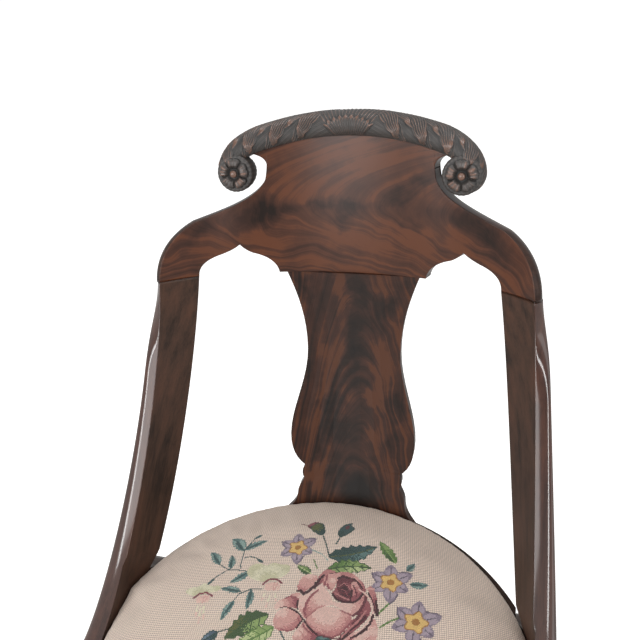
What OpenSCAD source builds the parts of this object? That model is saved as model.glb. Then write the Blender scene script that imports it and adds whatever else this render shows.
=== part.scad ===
// Gondola side chair: curved crest with a leaf-carved roll, vase splat,
// stiles that sweep down into the side rails, and a lift-out slip seat.
// Millimetres. X is across the chair, Y points to its back, Z is up.

/* [Seat frame] */
// Height of the side rail's top edge above the floor
rail_z = 413; // [380:1:460]
// Depth of the seat frame, front rail face to rear rail face
seat_d = 419; // [390:1:450]
// Half width between the side rails' inner faces
side_x = 217; // [208:1:230]
// Thickness of the side rails
side_t = 24; // [20:1:28]
// Height of the side rails
rail_h = 55; // [48:1:64]
// How much the bowed rear rail's outer radius exceeds the inner half width
rear_over = 20; // [8:0.5:26]
// Width of the rear rail's raised lip behind the cushion
lip_w = 11; // [10:0.5:15]
// Width of the shelf inside the lip
shelf_w = 14; // [10:0.5:18]
// How far the rear rail's top lies below the side rails
rear_drop = 12; // [3:0.5:14]
// Thickness of the front rail
front_t = 24; // [20:1:28]
// Width of the front rail's lip before the cushion
front_lip = 10; // [7:0.5:13]

/* [Back] */
// Height from the side rail's top to the crest's lower edge
back_h = 264; // [230:1:300]
// Lean of the crest from upright, in degrees
rake = 15; // [11:0.5:19]
// Distance from the rear rail's outer face back to the crest's front face
back_set = 94; // [80:1:110]
// Radius of the back's middle stretch in plan
mid_r = 326; // [300:2:360]
// Half width of that middle stretch
mid_half = 90; // [80:1:100]
// Radius of the back's two end stretches in plan
end_r = 220; // [205:1:240]
// Thickness of the crest board with its veneer
crest_t = 17.5; // [15:0.5:20]
// Thickness of the crest's ends at the joints with the stiles
joint_t = 15; // [13:0.5:17]
// Thickness of the flame veneer
veneer_t = 0.9; // [0.7:0.1:1.5]

/* [Crest outline] */
// Half width of the crest at the joints with the stiles
crest_half = 197; // [190:1:203]
// Width of the stile's face at the joint
joint_w = 33; // [28:1:38]
// Half width of the tablet's straight lower edge
tablet_half = 83; // [76:1:90]
// Height of the pointed cusps beside the tablet
cusp_u = 34; // [28:1:38]
// Distance of the cusps from the middle
cusp_x = 123.5; // [118:0.5:128]
// Height of the shoulders at their outer corners
shoulder_u = 62; // [52:1:68]
// Half width of the neck under the scrolls
neck_half = 92; // [89:0.5:97]
// Height of the neck's narrowest point
neck_u = 108; // [104:1:112]

/* [Carved roll] */
// Height of the roll's axis above the crest's lower edge
roll_u = 161.5; // [158:0.5:170]
// Radius of the arch that the roll follows
arch_r = 325; // [290:5:380]
// Half of the roll's thickness, seen from the front
roll_a = 15.5; // [13:0.5:18]
// Half of the roll's depth, front to back
roll_b = 19; // [15:0.5:21]
// How far the roll's face stands in front of the crest
roll_out = 10; // [7:0.5:13]
// Depth of the leaf carving
leaf_depth = 2.2; // [0.5:0.1:3]
// Length of one leaf along the roll
leaf_pitch = 30; // [22:1:44]
// Distance of the scrolls' centres from the middle
scroll_x = 120.5; // [114:0.5:124]
// Height of the scrolls' centres
scroll_u = 114.5; // [110:0.5:121]
// Radius of the scrolls
scroll_r = 20; // [18:0.5:23]
// Radius of the rosettes on the scrolls
rosette_r = 16.5; // [14:0.5:18]
// Petals on a rosette
petals = 5; // [4:1:7]

/* [Splat] */
// Thickness of the splat with its veneer
splat_t = 9; // [7.5:0.5:10]
// How far the splat's face lies behind the crest's
splat_back = 4.5; // [3.5:0.5:6]
// Half width at the top
splat_top = 76; // [70:1:80]
// Half width at the waist
splat_waist = 55; // [46:1:62]
// Half width at the belly
splat_belly = 75; // [66:1:80]
// Half width at the ring notches
splat_notch = 57.5; // [50:0.5:62]
// Half width at the foot
splat_foot = 82; // [74:1:88]
// Depth of the waist below the crest
waist_z = 89; // [75:1:100]
// Height of the ring notches above the rear rail
notch_z = 52; // [46:1:58]
// Height of the belly above the rear rail
belly_z = 90; // [82:1:98]

/* [Legs] */
// Width of the legs across the chair
leg_w = 32; // [28:1:36]
// Depth of the legs at the top, seen from the side
leg_top = 46; // [40:1:52]
// Depth of the legs at the foot
leg_foot = 27; // [22:1:32]
// How far the front feet reach in front of the front rail
front_sweep = 22; // [10:1:32]
// How far the rear legs stand inside the front ones
rear_leg_in = 10; // [6:1:14]
// How far the rear feet reach behind the legs' tops
rear_sweep = 140; // [110:1:165]

/* [Slip seat] */
// Gap round the slip seat
seat_gap = 3; // [2:0.2:4]
// How far the slip seat's frame lies below the side rails
seat_drop = 9; // [7:0.5:11]
// Thickness of the slip seat's frame
frame_t = 20; // [16:1:22]
// Width of the frame's rails
frame_w = 52; // [44:1:60]
// Height of the crown above the frame
crown_h = 44; // [35:1:62]
// Height of the cushion's upright side above the frame
edge_h = 8; // [6:0.5:14]
// How far the cushion's sides bulge past the frame
bulge = 4; // [1:0.5:6]
// How full the crown is: 2 is an even dome, more gives fuller shoulders
crown_full = 2; // [1.8:0.1:3.2]
// Thickness of the embroidered cover
cover_t = 1.6; // [1.2:0.1:2.2]

/* [Fixings] */
// Diameter of the dowels in the rails and legs
dowel_d = 8; // [6:0.5:10]
// Diameter of the dowels in the crest
pin_d = 6; // [4:0.5:8]
// Length of the dowels
dowel_l = 32; // [24:1:36]
// Diameter of the ledger screws
screw_d = 4; // [3.5:0.1:4.5]

/* [Hidden] */
mahogany = [0.30, 0.16, 0.10];
dark_mahogany = [0.17, 0.09, 0.06];
flame_mahogany = [0.36, 0.17, 0.10];
ash_wood = [0.66, 0.52, 0.36];
linen = [0.70, 0.62, 0.48];
ground_wool = [0.80, 0.70, 0.62];

fit = 0.15;   // glue line between fixed pieces
seat_fit = 0.3; // gap under and round pieces that lift out
side_clear = 0.5; // between the cushion's bulging sides and the wood

// Places in the chair's own frame, worked out from the crest's back and the front feet
roll_back = roll_b * 2 - roll_out;
crest_y_max = roll_u * sin(rake) + roll_back * cos(rake);
back_to_front = back_set + seat_d + front_sweep;
tab_y = (back_to_front - crest_y_max) / 2;
tab_z = rail_z + back_h;
rear_y = tab_y - back_set;
rear_r = side_x + rear_over;
front_y = rear_y - seat_d;
ring_y = rear_y - rear_r;
rear_top = rail_z - rear_drop;
under_z = rail_z - rail_h;
shelf_z = rail_z - seat_drop - frame_t - cover_t - seat_fit;
lip_r = rear_r - lip_w;
shelf_r = lip_r - shelf_w;

// Three-centred curve of the back in plan
mid_a = asin(mid_half / mid_r);
end_cx = mid_half - end_r * sin(mid_a);
end_cn = mid_r * (1 - cos(mid_a)) + end_r * cos(mid_a);
function plan_n(x) = abs(x) <= mid_half
  ? mid_r - sqrt(mid_r * mid_r - x * x)
  : end_cn - sqrt(end_r * end_r - pow(abs(x) - end_cx, 2));
function plan_a(x) = abs(x) <= mid_half ? asin(x / mid_r)
  : sign(x) * asin((abs(x) - end_cx) / end_r);
function arc_pt(a, off) = abs(a) <= mid_a
  ? [(mid_r + off) * sin(a), (mid_r + off) * cos(a) - mid_r]
  : [sign(a) * end_cx + (end_r + off) * sin(a), (end_r + off) * cos(a) - end_cn];
function band(a_max, near, far, step = 2.5) = concat(
  [for (a = [-a_max : step : a_max]) arc_pt(a, near)],
  [for (a = [a_max : -step : -a_max]) arc_pt(a, far)]);

// Cubic curve through two ends with two handles
function cubic(p, t) = p[0] * pow(1 - t, 3) + p[1] * 3 * t * pow(1 - t, 2)
  + p[2] * 3 * t * t * (1 - t) + p[3] * pow(t, 3);
function cubic_pts(p, n) = [for (i = [1 : n]) cubic(p, i / n)];
function unit(v) = v / norm(v);
function mix(a, b, t) = a * (1 - t) + b * t;

// The crest leans back: X across, Y into its thickness, Z up its face
module on_back() translate([0, tab_y, tab_z]) rotate([-rake, 0, 0]) children();
function back_pt(x, y, u) = [x, tab_y + y * cos(rake) + u * sin(rake),
  tab_z - y * sin(rake) + u * cos(rake)];

// Closed skin over equal rings of points
module skin(rings) {
  n = len(rings[0]);
  m = len(rings);
  points = [for (r = rings) for (p = r) p];
  sides = [for (i = [0 : m - 2]) for (j = [0 : n - 1]) let (k = (j + 1) % n)
    each [[i * n + j, i * n + k, (i + 1) * n + j], [i * n + k, (i + 1) * n + k, (i + 1) * n + j]]];
  first = [[for (j = [n - 1 : -1 : 0]) j]];
  last = [[for (j = [0 : n - 1]) (m - 1) * n + j]];
  polyhedron(points, concat(sides, first, last));
}

// Half outline of the crest below the roll, from the middle outwards and up
joint_u = 3;
joint_in = crest_half - joint_w;
roll_flat = 5;
neck_top = neck_half + 1.5;
function arch_u(x, r) = roll_u - arch_r + sqrt(r * r - x * x);
board_top_r = arch_r - roll_a + roll_flat - fit;
crest_lower = concat(
  [for (i = [0 : 6]) [tablet_half * i / 6, 0]],
  cubic_pts([[tablet_half, 0], [tablet_half + 2, 13], [tablet_half + 15, 20],
    [tablet_half + 27, 23.5]], 6),
  cubic_pts([[tablet_half + 27, 23.5], [cusp_x - 8, cusp_u - 8], [cusp_x - 3, cusp_u - 4],
    [cusp_x, cusp_u]], 4),
  cubic_pts([[cusp_x, cusp_u], [cusp_x + 6, cusp_u - 5], [cusp_x + 12, cusp_u - 7],
    [cusp_x + 17, cusp_u - 9]], 4),
  cubic_pts([[cusp_x + 17, cusp_u - 9], [joint_in - 9, cusp_u - 13], [joint_in, joint_u + 12],
    [joint_in, joint_u]], 7));
crest_upper = concat(
  [for (i = [0 : 7]) let (x = neck_top * i / 7) [x, arch_u(x, board_top_r) + 2]],
  cubic_pts([[neck_top, arch_u(neck_top, board_top_r) + 2], [neck_half + 5.5, neck_u + 24],
    [neck_half, neck_u + 14], [neck_half, neck_u]], 5),
  cubic_pts([[neck_half, neck_u], [neck_half * 1.08, neck_u * 0.74],
    [crest_half - joint_w * 1.9, shoulder_u * 1.26], [crest_half - joint_w, shoulder_u * 1.03]], 8),
  cubic_pts([[crest_half - joint_w, shoulder_u * 1.03], [crest_half - joint_w * 0.47, shoulder_u * 0.86],
    [crest_half - joint_w * 0.04, shoulder_u * 0.58], [crest_half, joint_u]], 7));
crest_last = len(crest_lower) - 1;
edge_turn = 0.8; // the board's edges turn by this much of the face's own turn
function bent(p, off) = let (
    a = plan_a(p[0]),
    q = arc_pt(a, 0),
    thin = off * (1 - (1 - joint_t / crest_t) * pow(abs(p[0]) / crest_half, 4)))
  [q[0] + thin * sin(a * edge_turn), q[1] + thin * cos(a * edge_turn), p[1]];
joint_round = 3;
function round_in(x, off) = joint_round * min(1, max(0, abs(x) / neck_half - 1))
  * (1 - sqrt(1 - pow(off / crest_t, 2)));
function crest_ring(i, near, far) = let (
    k = abs(i),
    lo = [sign(i) * crest_lower[k][0], crest_lower[k][1]],
    up = [sign(i) * crest_upper[k][0], crest_upper[k][1]],
    edge = [for (q = [0, 0.45, 0.8, 1]) let (off = mix(near, far, q))
      [mix(up, lo, round_in(up[0], off) / norm(up - lo)), off]])
  concat([for (f = [0 : 4]) bent(mix(lo, edge[0][0], f / 4), near)],
    [for (q = [1, 2]) bent(edge[q][0], edge[q][1])],
    [for (f = [4 : -1 : 0]) bent(mix(lo, edge[3][0], f / 4), far)]);
module crest_slab(near, far) intersection() {
  skin([for (i = [-crest_last : crest_last]) crest_ring(i, near, far)]);
  translate([0, crest_t * 2, roll_u - arch_r]) rotate([90, 0, 0])
    cylinder(h = mid_r, r = board_top_r, $fn = 360);
}

splat_tenon_w = 2 * splat_waist - 30;
tenon_t = 4;
tenon_h = 14;
splat_mid = splat_back + splat_t / 2;

// Dowel places: in the shoulders, across the joint with each stile
dowel_x = crest_half - joint_w * 0.52;
module crest_dowel(side, grow = 0) {
  a = plan_a(dowel_x);
  p = arc_pt(a, crest_t / 2);
  on_back() translate([side * p[0], p[1], joint_u - dowel_l / 2 - grow])
    cylinder(h = dowel_l + grow * 2, d = pin_d + grow * 2, $fn = 32);
}
roll_dowel_x = [-62, 0, 62];
module roll_dowel(x, grow = 0) {
  on_back() translate([x, crest_t / 2 - plan_n(x), arch_u(x, board_top_r) - dowel_l * 0.55 - grow])
    cylinder(h = dowel_l * 0.85 + grow * 2, d = pin_d + grow * 2, $fn = 32);
}

module crest_board() color(mahogany) difference() {
  on_back() difference() {
    crest_slab(veneer_t + fit, crest_t);
    translate([-splat_tenon_w / 2 - fit, splat_mid - tenon_t / 2 - fit, -1])
      cube([splat_tenon_w + fit * 2, tenon_t + fit * 2, tenon_h + 1 + fit * 2]);
  }
  for (s = [-1, 1]) crest_dowel(s, fit);
  for (x = roll_dowel_x) roll_dowel(x, fit);
}

module crest_veneer() color(flame_mahogany) on_back() crest_slab(0, veneer_t);

// Carved roll: an arch whose ends curl down into the scrolls. Its outer and inner edges
// guide the sections
arch_a = asin(neck_half / arch_r);
arch_steps = 34;
curl_steps = 13;
arch_c = roll_u - arch_r;
function arch_edge(a, r) = [r * sin(a), arch_c + r * cos(a)];
along_arch = [cos(arch_a), -sin(arch_a)];
outer_end = arch_edge(arch_a, arch_r + roll_a);
inner_end = arch_edge(arch_a, arch_r - roll_a + roll_flat);
sweep_out = 1.5;
tail_steps = 6;
tail_a = 100;
scroll_c = [scroll_x, scroll_u];
function round_scroll(a, r) = scroll_c + [r * cos(a), -r * sin(a)];
outer_edge = concat(
  [for (i = [0 : arch_steps]) arch_edge(arch_a * i / arch_steps, arch_r + roll_a)],
  cubic_pts([outer_end, outer_end + along_arch * scroll_r * 1.1,
    scroll_c + [scroll_r + sweep_out, scroll_r * 1.3],
    scroll_c + [scroll_r + sweep_out, 0]], curl_steps),
  [for (i = [1 : tail_steps]) let (t = i / tail_steps)
    round_scroll(tail_a * t, scroll_r + sweep_out * (1 - t) - scroll_r * 0.25 * t * t)]);
inner_edge = concat(
  [for (i = [0 : arch_steps]) arch_edge(arch_a * i / arch_steps, arch_r - roll_a + roll_flat)],
  cubic_pts([inner_end, inner_end + along_arch * scroll_r * 0.8,
    scroll_c + [scroll_r * 0.2, scroll_r * 0.6], scroll_c + [scroll_r * 0.2, 0]], curl_steps),
  [for (i = [1 : tail_steps]) round_scroll(tail_a * i / tail_steps, scroll_r * 0.2)]);
roll_last = arch_steps + curl_steps + tail_steps;
roll_sides = 28;
function roll_run(k) = k <= arch_steps ? arch_r * arch_a * PI / 180 * k / arch_steps
  : arch_r * arch_a * PI / 180 + scroll_r * 1.9 * (k - arch_steps) / curl_steps;
// Height of the carving: broad leaves lie over each other, tips outwards, with a sunk
// midrib, side veins and a step down at each tip. turn is 0 in front and 90 on top
function leaf(run, turn) = let (
    across = (((turn + 540) % 360) - 180 - 22) / 88,
    side = abs(across),
    reach = run / leaf_pitch + 0.42 * side * side - 0.1 * abs(sin(across * 400)),
    rise = reach - floor(reach),
    rib = exp(-pow(across * 7, 2)),
    veins = cos(360 * (run / leaf_pitch * 3.5 + side * 2.2)))
  side > 1.15 ? 0
    : (0.75 * sqrt(rise) + 0.22 * veins - 0.45 * rib) * (1 - pow(side / 1.15, 6))
      * (0.35 + 0.65 * cos(turn) * cos(turn));
function roll_ring(i) = let (
    k = abs(i),
    o = outer_edge[k],
    n = inner_edge[k],
    mid = (o + n) / 2,
    half = norm(o - n) / 2,
    dir = unit(o - n),
    over = max(0, k - arch_steps) / (curl_steps + tail_steps),
    b = roll_b * (1 - 0.3 * over * over),
    depth = b - roll_out + over - plan_n(min(mid[0], scroll_x)),
    run = roll_run(k))
  [for (j = [0 : roll_sides - 1]) let (
      turn = 360 * j / roll_sides,
      relief = leaf_depth * (leaf(run, turn) - 0.5),
      v = max(-half, (half + roll_flat / 2 + relief) * sin(turn) - roll_flat / 2 * (1 - over)),
      y = (b + relief) * cos(turn))
    [sign(i) * (mid[0] + v * dir[0]) + (i == 0 ? v * dir[0] : 0), depth - y, mid[1] + v * dir[1]]];

boss_front = -plan_n(scroll_x) - roll_out;
boss_depth = roll_back + roll_out * 0.6;
boss_edge = 3;
boss_flat = 7;
module scroll_boss()
  translate([scroll_x, boss_front, scroll_u]) rotate([-90, 0, 0])
    rotate_extrude($fn = 48) polygon(concat(
      [[0, 0], [scroll_r - boss_edge, 0]],
      [for (a = [22.5 : 22.5 : 90])
        [scroll_r - boss_edge + boss_edge * sin(a), boss_edge - boss_edge * cos(a)]],
      [for (a = [0 : 15 : 75]) [scroll_r * (0.35 + 0.65 * cos(a)),
        boss_flat + (boss_depth - boss_flat) * sin(a)]],
      [[0, boss_depth]]));

module crest_roll() color(dark_mahogany) difference() {
  on_back() union() {
    skin([for (i = [-roll_last : roll_last]) roll_ring(i)]);
    scroll_boss();
    mirror([1, 0, 0]) scroll_boss();
  }
  for (x = roll_dowel_x) roll_dowel(x, fit);
}

module roll_dowels() color(ash_wood) for (x = roll_dowel_x) roll_dowel(x);
module crest_dowels() color(ash_wood) for (s = [-1, 1]) crest_dowel(s);

// Rosette: cleft petals that cup round a button, as rings from the rim to the middle
petal_points = 8;
petal_turn = 360 / petals;
function petal_gap(j) = abs(j % petal_points - petal_points / 2) / (petal_points / 2);
function petal_cleft(j) = j % petal_points == petal_points / 2 ? 1 : 0;
function petal_rim(j) = 1 - 0.2 * pow(petal_gap(j), 4) - 0.09 * petal_cleft(j);
function rosette_ring(size, lobed, rise, dip) = [for (j = [0 : petals * petal_points - 1]) let (
    a = 90 + petal_turn * (j / petal_points - 0.5),
    r = rosette_r * size * mix(1, petal_rim(j), lobed))
  [r * cos(a), r * sin(a), rise * (1 - dip * pow(petal_gap(j), 2) - dip * 0.4 * petal_cleft(j))]];
module rosette(side) color(mahogany) on_back()
  translate([side * scroll_x, boss_front - fit, scroll_u]) rotate([90, 0, 0]) skin([
    rosette_ring(1, 1, 0, 0), rosette_ring(1, 1, 1.4, 0.2), rosette_ring(0.93, 1, 3.7, 0.4),
    rosette_ring(0.72, 0.8, 4.4, 0.5), rosette_ring(0.48, 0.5, 3, 0.4),
    rosette_ring(0.3, 0, 1.8, 0), rosette_ring(0.26, 0, 3.6, 0), rosette_ring(0.15, 0, 4.7, 0),
    rosette_ring(0.03, 0, 5, 0)]);
module rosette_left() rosette(-1);
module rosette_right() rosette(1);

// Splat: horizontal slices whose plan eases from the crest's curve to the rail's
splat_bottom = rear_top + fit;
splat_span = tab_z - fit - splat_bottom;
base_y = ring_y + lip_r;
sweep_y = tab_y + splat_back / cos(rake) - splat_span * tan(rake) - base_y;
function splat_y(x, z) = let (d = (tab_z - z), t = d / splat_span)
  tab_y + splat_back / cos(rake) - d * tan(rake) - sweep_y * t * t
  - mix(plan_n(x) / cos(rake), lip_r - sqrt(lip_r * lip_r - x * x), t);
splat_half = concat(
  [[splat_top, 0]],
  cubic_pts([[splat_top, 0], [splat_top - 8, waist_z * 0.22], [splat_waist, waist_z * 0.56],
    [splat_waist, waist_z]], 9),
  cubic_pts([[splat_waist, waist_z], [splat_waist, waist_z + 36],
    [splat_belly, splat_span - belly_z - 30], [splat_belly, splat_span - belly_z]], 9),
  cubic_pts([[splat_belly, splat_span - belly_z], [splat_belly, splat_span - belly_z + 18],
    [splat_notch + 11, splat_span - notch_z - 8], [splat_notch, splat_span - notch_z]], 6),
  cubic_pts([[splat_notch, splat_span - notch_z], [splat_notch + 4.5, splat_span - notch_z + 2],
    [splat_notch + 4.5, splat_span - notch_z + 12], [splat_notch + 1, splat_span - notch_z + 14]], 5),
  cubic_pts([[splat_notch + 1, splat_span - notch_z + 14], [splat_notch + 3.5, splat_span - 32],
    [splat_notch + 8.5, splat_span - 30], [splat_notch + 8.5, splat_span - 20]], 5),
  cubic_pts([[splat_notch + 8.5, splat_span - 20], [splat_notch + 9.5, splat_span - 11],
    [splat_foot - 8, splat_span - 6], [splat_foot, splat_span]], 5));
splat_cols = 9;
function splat_pt(x, off, drop) = let (
    t = drop / splat_span,
    tilt = (splat_y(x, tab_z) + off - tab_y) * tan(rake) * pow(1 - t, 2),
    z = tab_z - fit - drop - tilt)
  [x, splat_y(x, z) + off, z];
function splat_ring(row, near, far) = let (
    xs = [for (i = [0 : splat_cols]) row[0] * (2 * i / splat_cols - 1)])
  concat([for (x = xs) splat_pt(x, near, row[1])],
    [for (i = [splat_cols : -1 : 0]) splat_pt(xs[i], far, row[1])]);
module splat_slab(near, far) skin([for (row = splat_half) splat_ring(row, near, far)]);
foot_tenon_w = 56;
foot_tenon_y = ring_y + (lip_r + sqrt(pow(rear_r, 2) - pow(foot_tenon_w / 2, 2)) - tenon_t) / 2;
foot_lap = 3;
module foot_tenon(grow = 0)
  translate([-foot_tenon_w / 2 - grow, foot_tenon_y - grow, splat_bottom - tenon_h - grow])
    cube([foot_tenon_w + grow * 2, tenon_t + grow * 2, tenon_h + foot_lap + grow]);
module splat_core() color(mahogany) {
  splat_slab(veneer_t + fit, splat_t);
  foot_tenon();
  on_back() translate([-splat_tenon_w / 2, splat_mid - tenon_t / 2, -tenon_t])
    cube([splat_tenon_w, tenon_t, tenon_h + tenon_t]);
}
module splat_veneer() color(flame_mahogany) splat_slab(0, veneer_t);

// Stiles: a plank whose face starts in line with the crest and turns until it
// stands upright as the side rail. Two edge curves guide it.
stile_steps = 22;
top_u = joint_u - fit;
function on_face(x, u) = back_pt(x, -plan_n(x), u);
lean = [0, -sin(rake), -cos(rake)];
rail_start_y = ring_y - 20;
arris_0 = on_face(crest_half, top_u);
inner_0 = on_face(joint_in, top_u);
end_turn = plan_a(crest_half) * edge_turn;
end_out = [sin(end_turn), cos(end_turn) * cos(rake), -cos(end_turn) * sin(rake)];
arris_curve = [arris_0, arris_0 + lean * back_h * 0.435 + [side_x - crest_half, 0, 0] * 0.5,
  [side_x, rail_start_y + back_h * 0.337, rail_z], [side_x, rail_start_y, rail_z]];
inner_curve = [inner_0, inner_0 + lean * back_h * 0.53 + [side_x - joint_in, 0, 0] * 0.34,
  [side_x - side_t * 0.67, rail_start_y + back_h * 0.39, under_z], [side_x, rail_start_y, under_z]];
function stile_section(t, grow) = let (
    a = cubic(arris_curve, t),
    b = cubic(inner_curve, t),
    across = unit(b - a),
    out = unit(mix(end_out, [1, 0, 0], min(1, t * 5))),
    w = norm(b - a),
    thick = mix(joint_t, side_t, min(1, t * 1.6)),
    round_w = mix(joint_round, 9, min(1, t * 1.6)))
  [for (p = concat(
      [[-grow, -grow]],
      [for (f = [22.5 : 22.5 : 90])
        [round_w * (1 - cos(f)) - grow, (thick + grow) * sin(f)]],
      [[w - 3, thick + grow], [w + grow, thick - 3], [w + grow, -grow]]))
    a + across * p[0] + out * p[1]];
rail_end_y = front_y + front_t + fit;
function slide_to(ring, y) = [for (p = ring) [p[0], y, p[2]]];
module stile_solid(grow = 0) {
  rings = [for (i = [0 : stile_steps]) stile_section(i / stile_steps, grow)];
  skin(concat(rings, [slide_to(rings[stile_steps], rail_end_y - grow)]));
}

ledger_h = 20;
ledger_t = 14;
ledger_x = side_x - ledger_t - fit;
ledger_y0 = rail_end_y + leg_top * 0.6;
ledger_y1 = rail_start_y - 6;
screw_places = [for (i = [0 : 2]) mix(ledger_y0 + 14, ledger_y1 - 14, i / 2)];
screw_z = shelf_z - ledger_h / 2;
screw_len = ledger_t + side_t * 0.55;
module screws(grow = 0) for (y = screw_places)
  translate([ledger_x - grow, y, screw_z]) rotate([0, 90, 0]) {
    cylinder(h = screw_len + grow * 2, d = screw_d + grow * 2, $fn = 24);
    cylinder(h = 2.6 + grow, d = screw_d * 2 + grow * 2, $fn = 24);
  }
module sided(side) if (side > 0) children(); else mirror([1, 0, 0]) children();

module seat_well() intersection() {
  translate([0, ring_y, shelf_z]) cylinder(h = rear_r, r = lip_r - seat_gap + bulge + side_clear, $fn = 180);
  translate([-side_x, ring_y, shelf_z]) cube([side_x * 2, rear_r, rear_r]);
}

// Front rail: closes the side rails' ends, with a lip in front of the slip seat
rail_dowel_z = [under_z + rail_h * 0.36, under_z + rail_h * 0.75];
module rail_dowel(z, grow = 0)
  translate([side_x + side_t / 2 - 1, rail_end_y - dowel_l / 2 + fit - grow, z]) rotate([-90, 0, 0])
    cylinder(h = dowel_l + grow * 2, d = dowel_d + grow * 2, $fn = 32);
module front_rail() color(flame_mahogany) difference() {
  translate([-side_x - side_t, front_y, under_z])
    cube([(side_x + side_t) * 2, front_t, rail_h]);
  translate([-side_x, front_y + front_lip, shelf_z]) cube([side_x * 2, front_t, rail_h]);
  for (s = [-1, 1]) sided(s) for (z = rail_dowel_z) rail_dowel(z, fit);
  for (s = [-1, 1]) sided(s) front_leg_dowel(fit);
}
module rail_dowels() color(ash_wood)
  for (s = [-1, 1]) sided(s) for (z = rail_dowel_z) rail_dowel(z);

// Sabre legs: flat planks cut to a curve, seen from the side
leg_x = side_x + side_t - leg_w;
rear_leg_x = leg_x - rear_leg_in;
module leg_plank(points, x)
  translate([x, 0, 0]) rotate([90, 0, 90]) linear_extrude(leg_w) polygon(points);
front_leg_top = under_z - fit;
front_leg_outline = concat(
  [[front_y + leg_top, front_leg_top], [front_y, front_leg_top]],
  cubic_pts([[front_y, front_leg_top], [front_y + 6, front_leg_top * 0.62],
    [front_y + 14, front_leg_top * 0.3], [front_y - front_sweep, 0]], 14),
  [[front_y - front_sweep + leg_foot, 0]],
  cubic_pts([[front_y - front_sweep + leg_foot, 0], [front_y + 14 + leg_foot * 0.9, front_leg_top * 0.32],
    [front_y + leg_top - 2, front_leg_top * 0.66], [front_y + leg_top, front_leg_top]], 14));
block_w = 26;
module front_leg_dowel(grow = 0)
  translate([side_x + side_t / 2, front_y + front_t / 2, under_z - dowel_l * 0.6 - grow])
    cylinder(h = dowel_l + grow * 2, d = dowel_d + grow * 2, $fn = 32);
module front_leg(side) color(mahogany) sided(side) difference() {
  union() {
    leg_plank(front_leg_outline, leg_x);
    translate([side_x - block_w - fit, front_y + front_t + fit, front_leg_top - 30])
      cube([block_w, leg_top - front_t - 1, shelf_z - front_leg_top + 30]);
  }
  front_leg_dowel(fit);
}
module front_leg_left() front_leg(-1);
module front_leg_right() front_leg(1);

// Rear legs rise under the stiles and take the bowed rail's ends on their inner face
leg_join_back = cubic(inner_curve, 0.68);
leg_join_front = cubic(inner_curve, 0.84);
join_lap = 6;
rear_leg_y = leg_join_front[1];
rear_leg_back = ring_y + sqrt(pow(rear_r, 2) - pow(rear_leg_x, 2)) + 2;
rear_foot_y = rear_leg_back + rear_sweep - leg_foot;
rear_leg_outline = concat(
  [for (t = [0.84, 0.8, 0.76, 0.72, 0.68]) let (p = cubic(inner_curve, t)) [p[1], p[2] + join_lap]],
  cubic_pts([[leg_join_back[1], leg_join_back[2]], [rear_leg_back - 4, rear_top + 3],
    [rear_leg_back, rear_top - 4], [rear_leg_back + 1, under_z + 10]], 6),
  cubic_pts([[rear_leg_back + 1, under_z + 10], [rear_leg_back + 8, under_z * 0.62],
    [rear_leg_back + 30, under_z * 0.34], [rear_foot_y + leg_foot, 0]], 14),
  [[rear_foot_y, 0]],
  cubic_pts([[rear_foot_y, 0], [rear_leg_back - leg_top + 24, under_z * 0.34],
    [rear_leg_y + 12, under_z * 0.62], [rear_leg_y, under_z - 8]], 14));
module rear_leg(side) color(mahogany) sided(side) difference() {
  leg_plank(rear_leg_outline, rear_leg_x);
  stile_solid(fit);
  seat_well();
}
module rear_leg_left() rear_leg(-1);
module rear_leg_right() rear_leg(1);
module leg_dowels() color(ash_wood) for (s = [-1, 1]) sided(s) front_leg_dowel();

// Rear rail: a half ring with a raised lip behind the cushion
module rear_ring() difference() {
  translate([0, ring_y, under_z]) cylinder(h = rear_top - under_z, r = rear_r, $fn = 180);
  translate([0, ring_y, under_z - 1]) cylinder(h = rail_h + 2, r = shelf_r, $fn = 180);
  translate([0, ring_y, shelf_z]) cylinder(h = rail_h, r = lip_r, $fn = 180);
}
module rear_rail() color(mahogany) {
  difference() {
    intersection() {
      rear_ring();
      translate([-rear_leg_x + fit, rear_leg_y, under_z - 1])
        cube([(rear_leg_x - fit) * 2, rear_r, rail_h * 2]);
    }
    for (s = [-1, 1]) sided(s) stile_solid(fit);
    foot_tenon(fit);
  }
}

// Ledgers carry the slip seat along the side rails
module ledger(side) color(ash_wood) sided(side) difference() {
  translate([ledger_x, ledger_y0, shelf_z - ledger_h]) cube([ledger_t, ledger_y1 - ledger_y0, ledger_h]);
  screws(fit);
}
module ledger_left() ledger(-1);
module ledger_right() ledger(1);
module ledger_screws() color("silver") for (s = [-1, 1]) sided(s) screws();
module stile(side) color(mahogany) sided(side) difference() {
  stile_solid();
  seat_well();
  crest_dowel(1, fit);
  screws(fit);
  for (z = rail_dowel_z) rail_dowel(z, fit);
}
module stile_left() stile(-1);
module stile_right() stile(1);

// Slip seat: frame, webbing, stuffing and the embroidered cover
frame_z = shelf_z + seat_fit + cover_t;
frame_top = frame_z + frame_t;
frame_r = lip_r - seat_gap - cover_t;
frame_x = side_x - bulge - side_clear - cover_t;
frame_front = front_y + front_lip + bulge + side_clear + cover_t;
corner_r = 22;
function seat_outline(grow) = let (
    r = frame_r + grow,
    x = frame_x + grow,
    a0 = acos(x / r),
    c = corner_r + grow)
  concat(
    [for (i = [0 : 24]) let (a = a0 + (180 - 2 * a0) * i / 24) [r * cos(a), ring_y + r * sin(a)]],
    [for (a = [180 : 15 : 270]) [c * cos(a) - x + c, frame_front - grow + c + c * sin(a)]],
    [for (a = [270 : 15 : 360]) [c * cos(a) + x - c, frame_front - grow + c + c * sin(a)]]);
module seat_slab(z, h, grow = 0) translate([0, 0, z]) linear_extrude(h) polygon(seat_outline(grow));
split_y = ring_y + 30;
inner_x = frame_x - frame_w;
inner_front = frame_front + frame_w;
side_tenon = 24;
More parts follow.
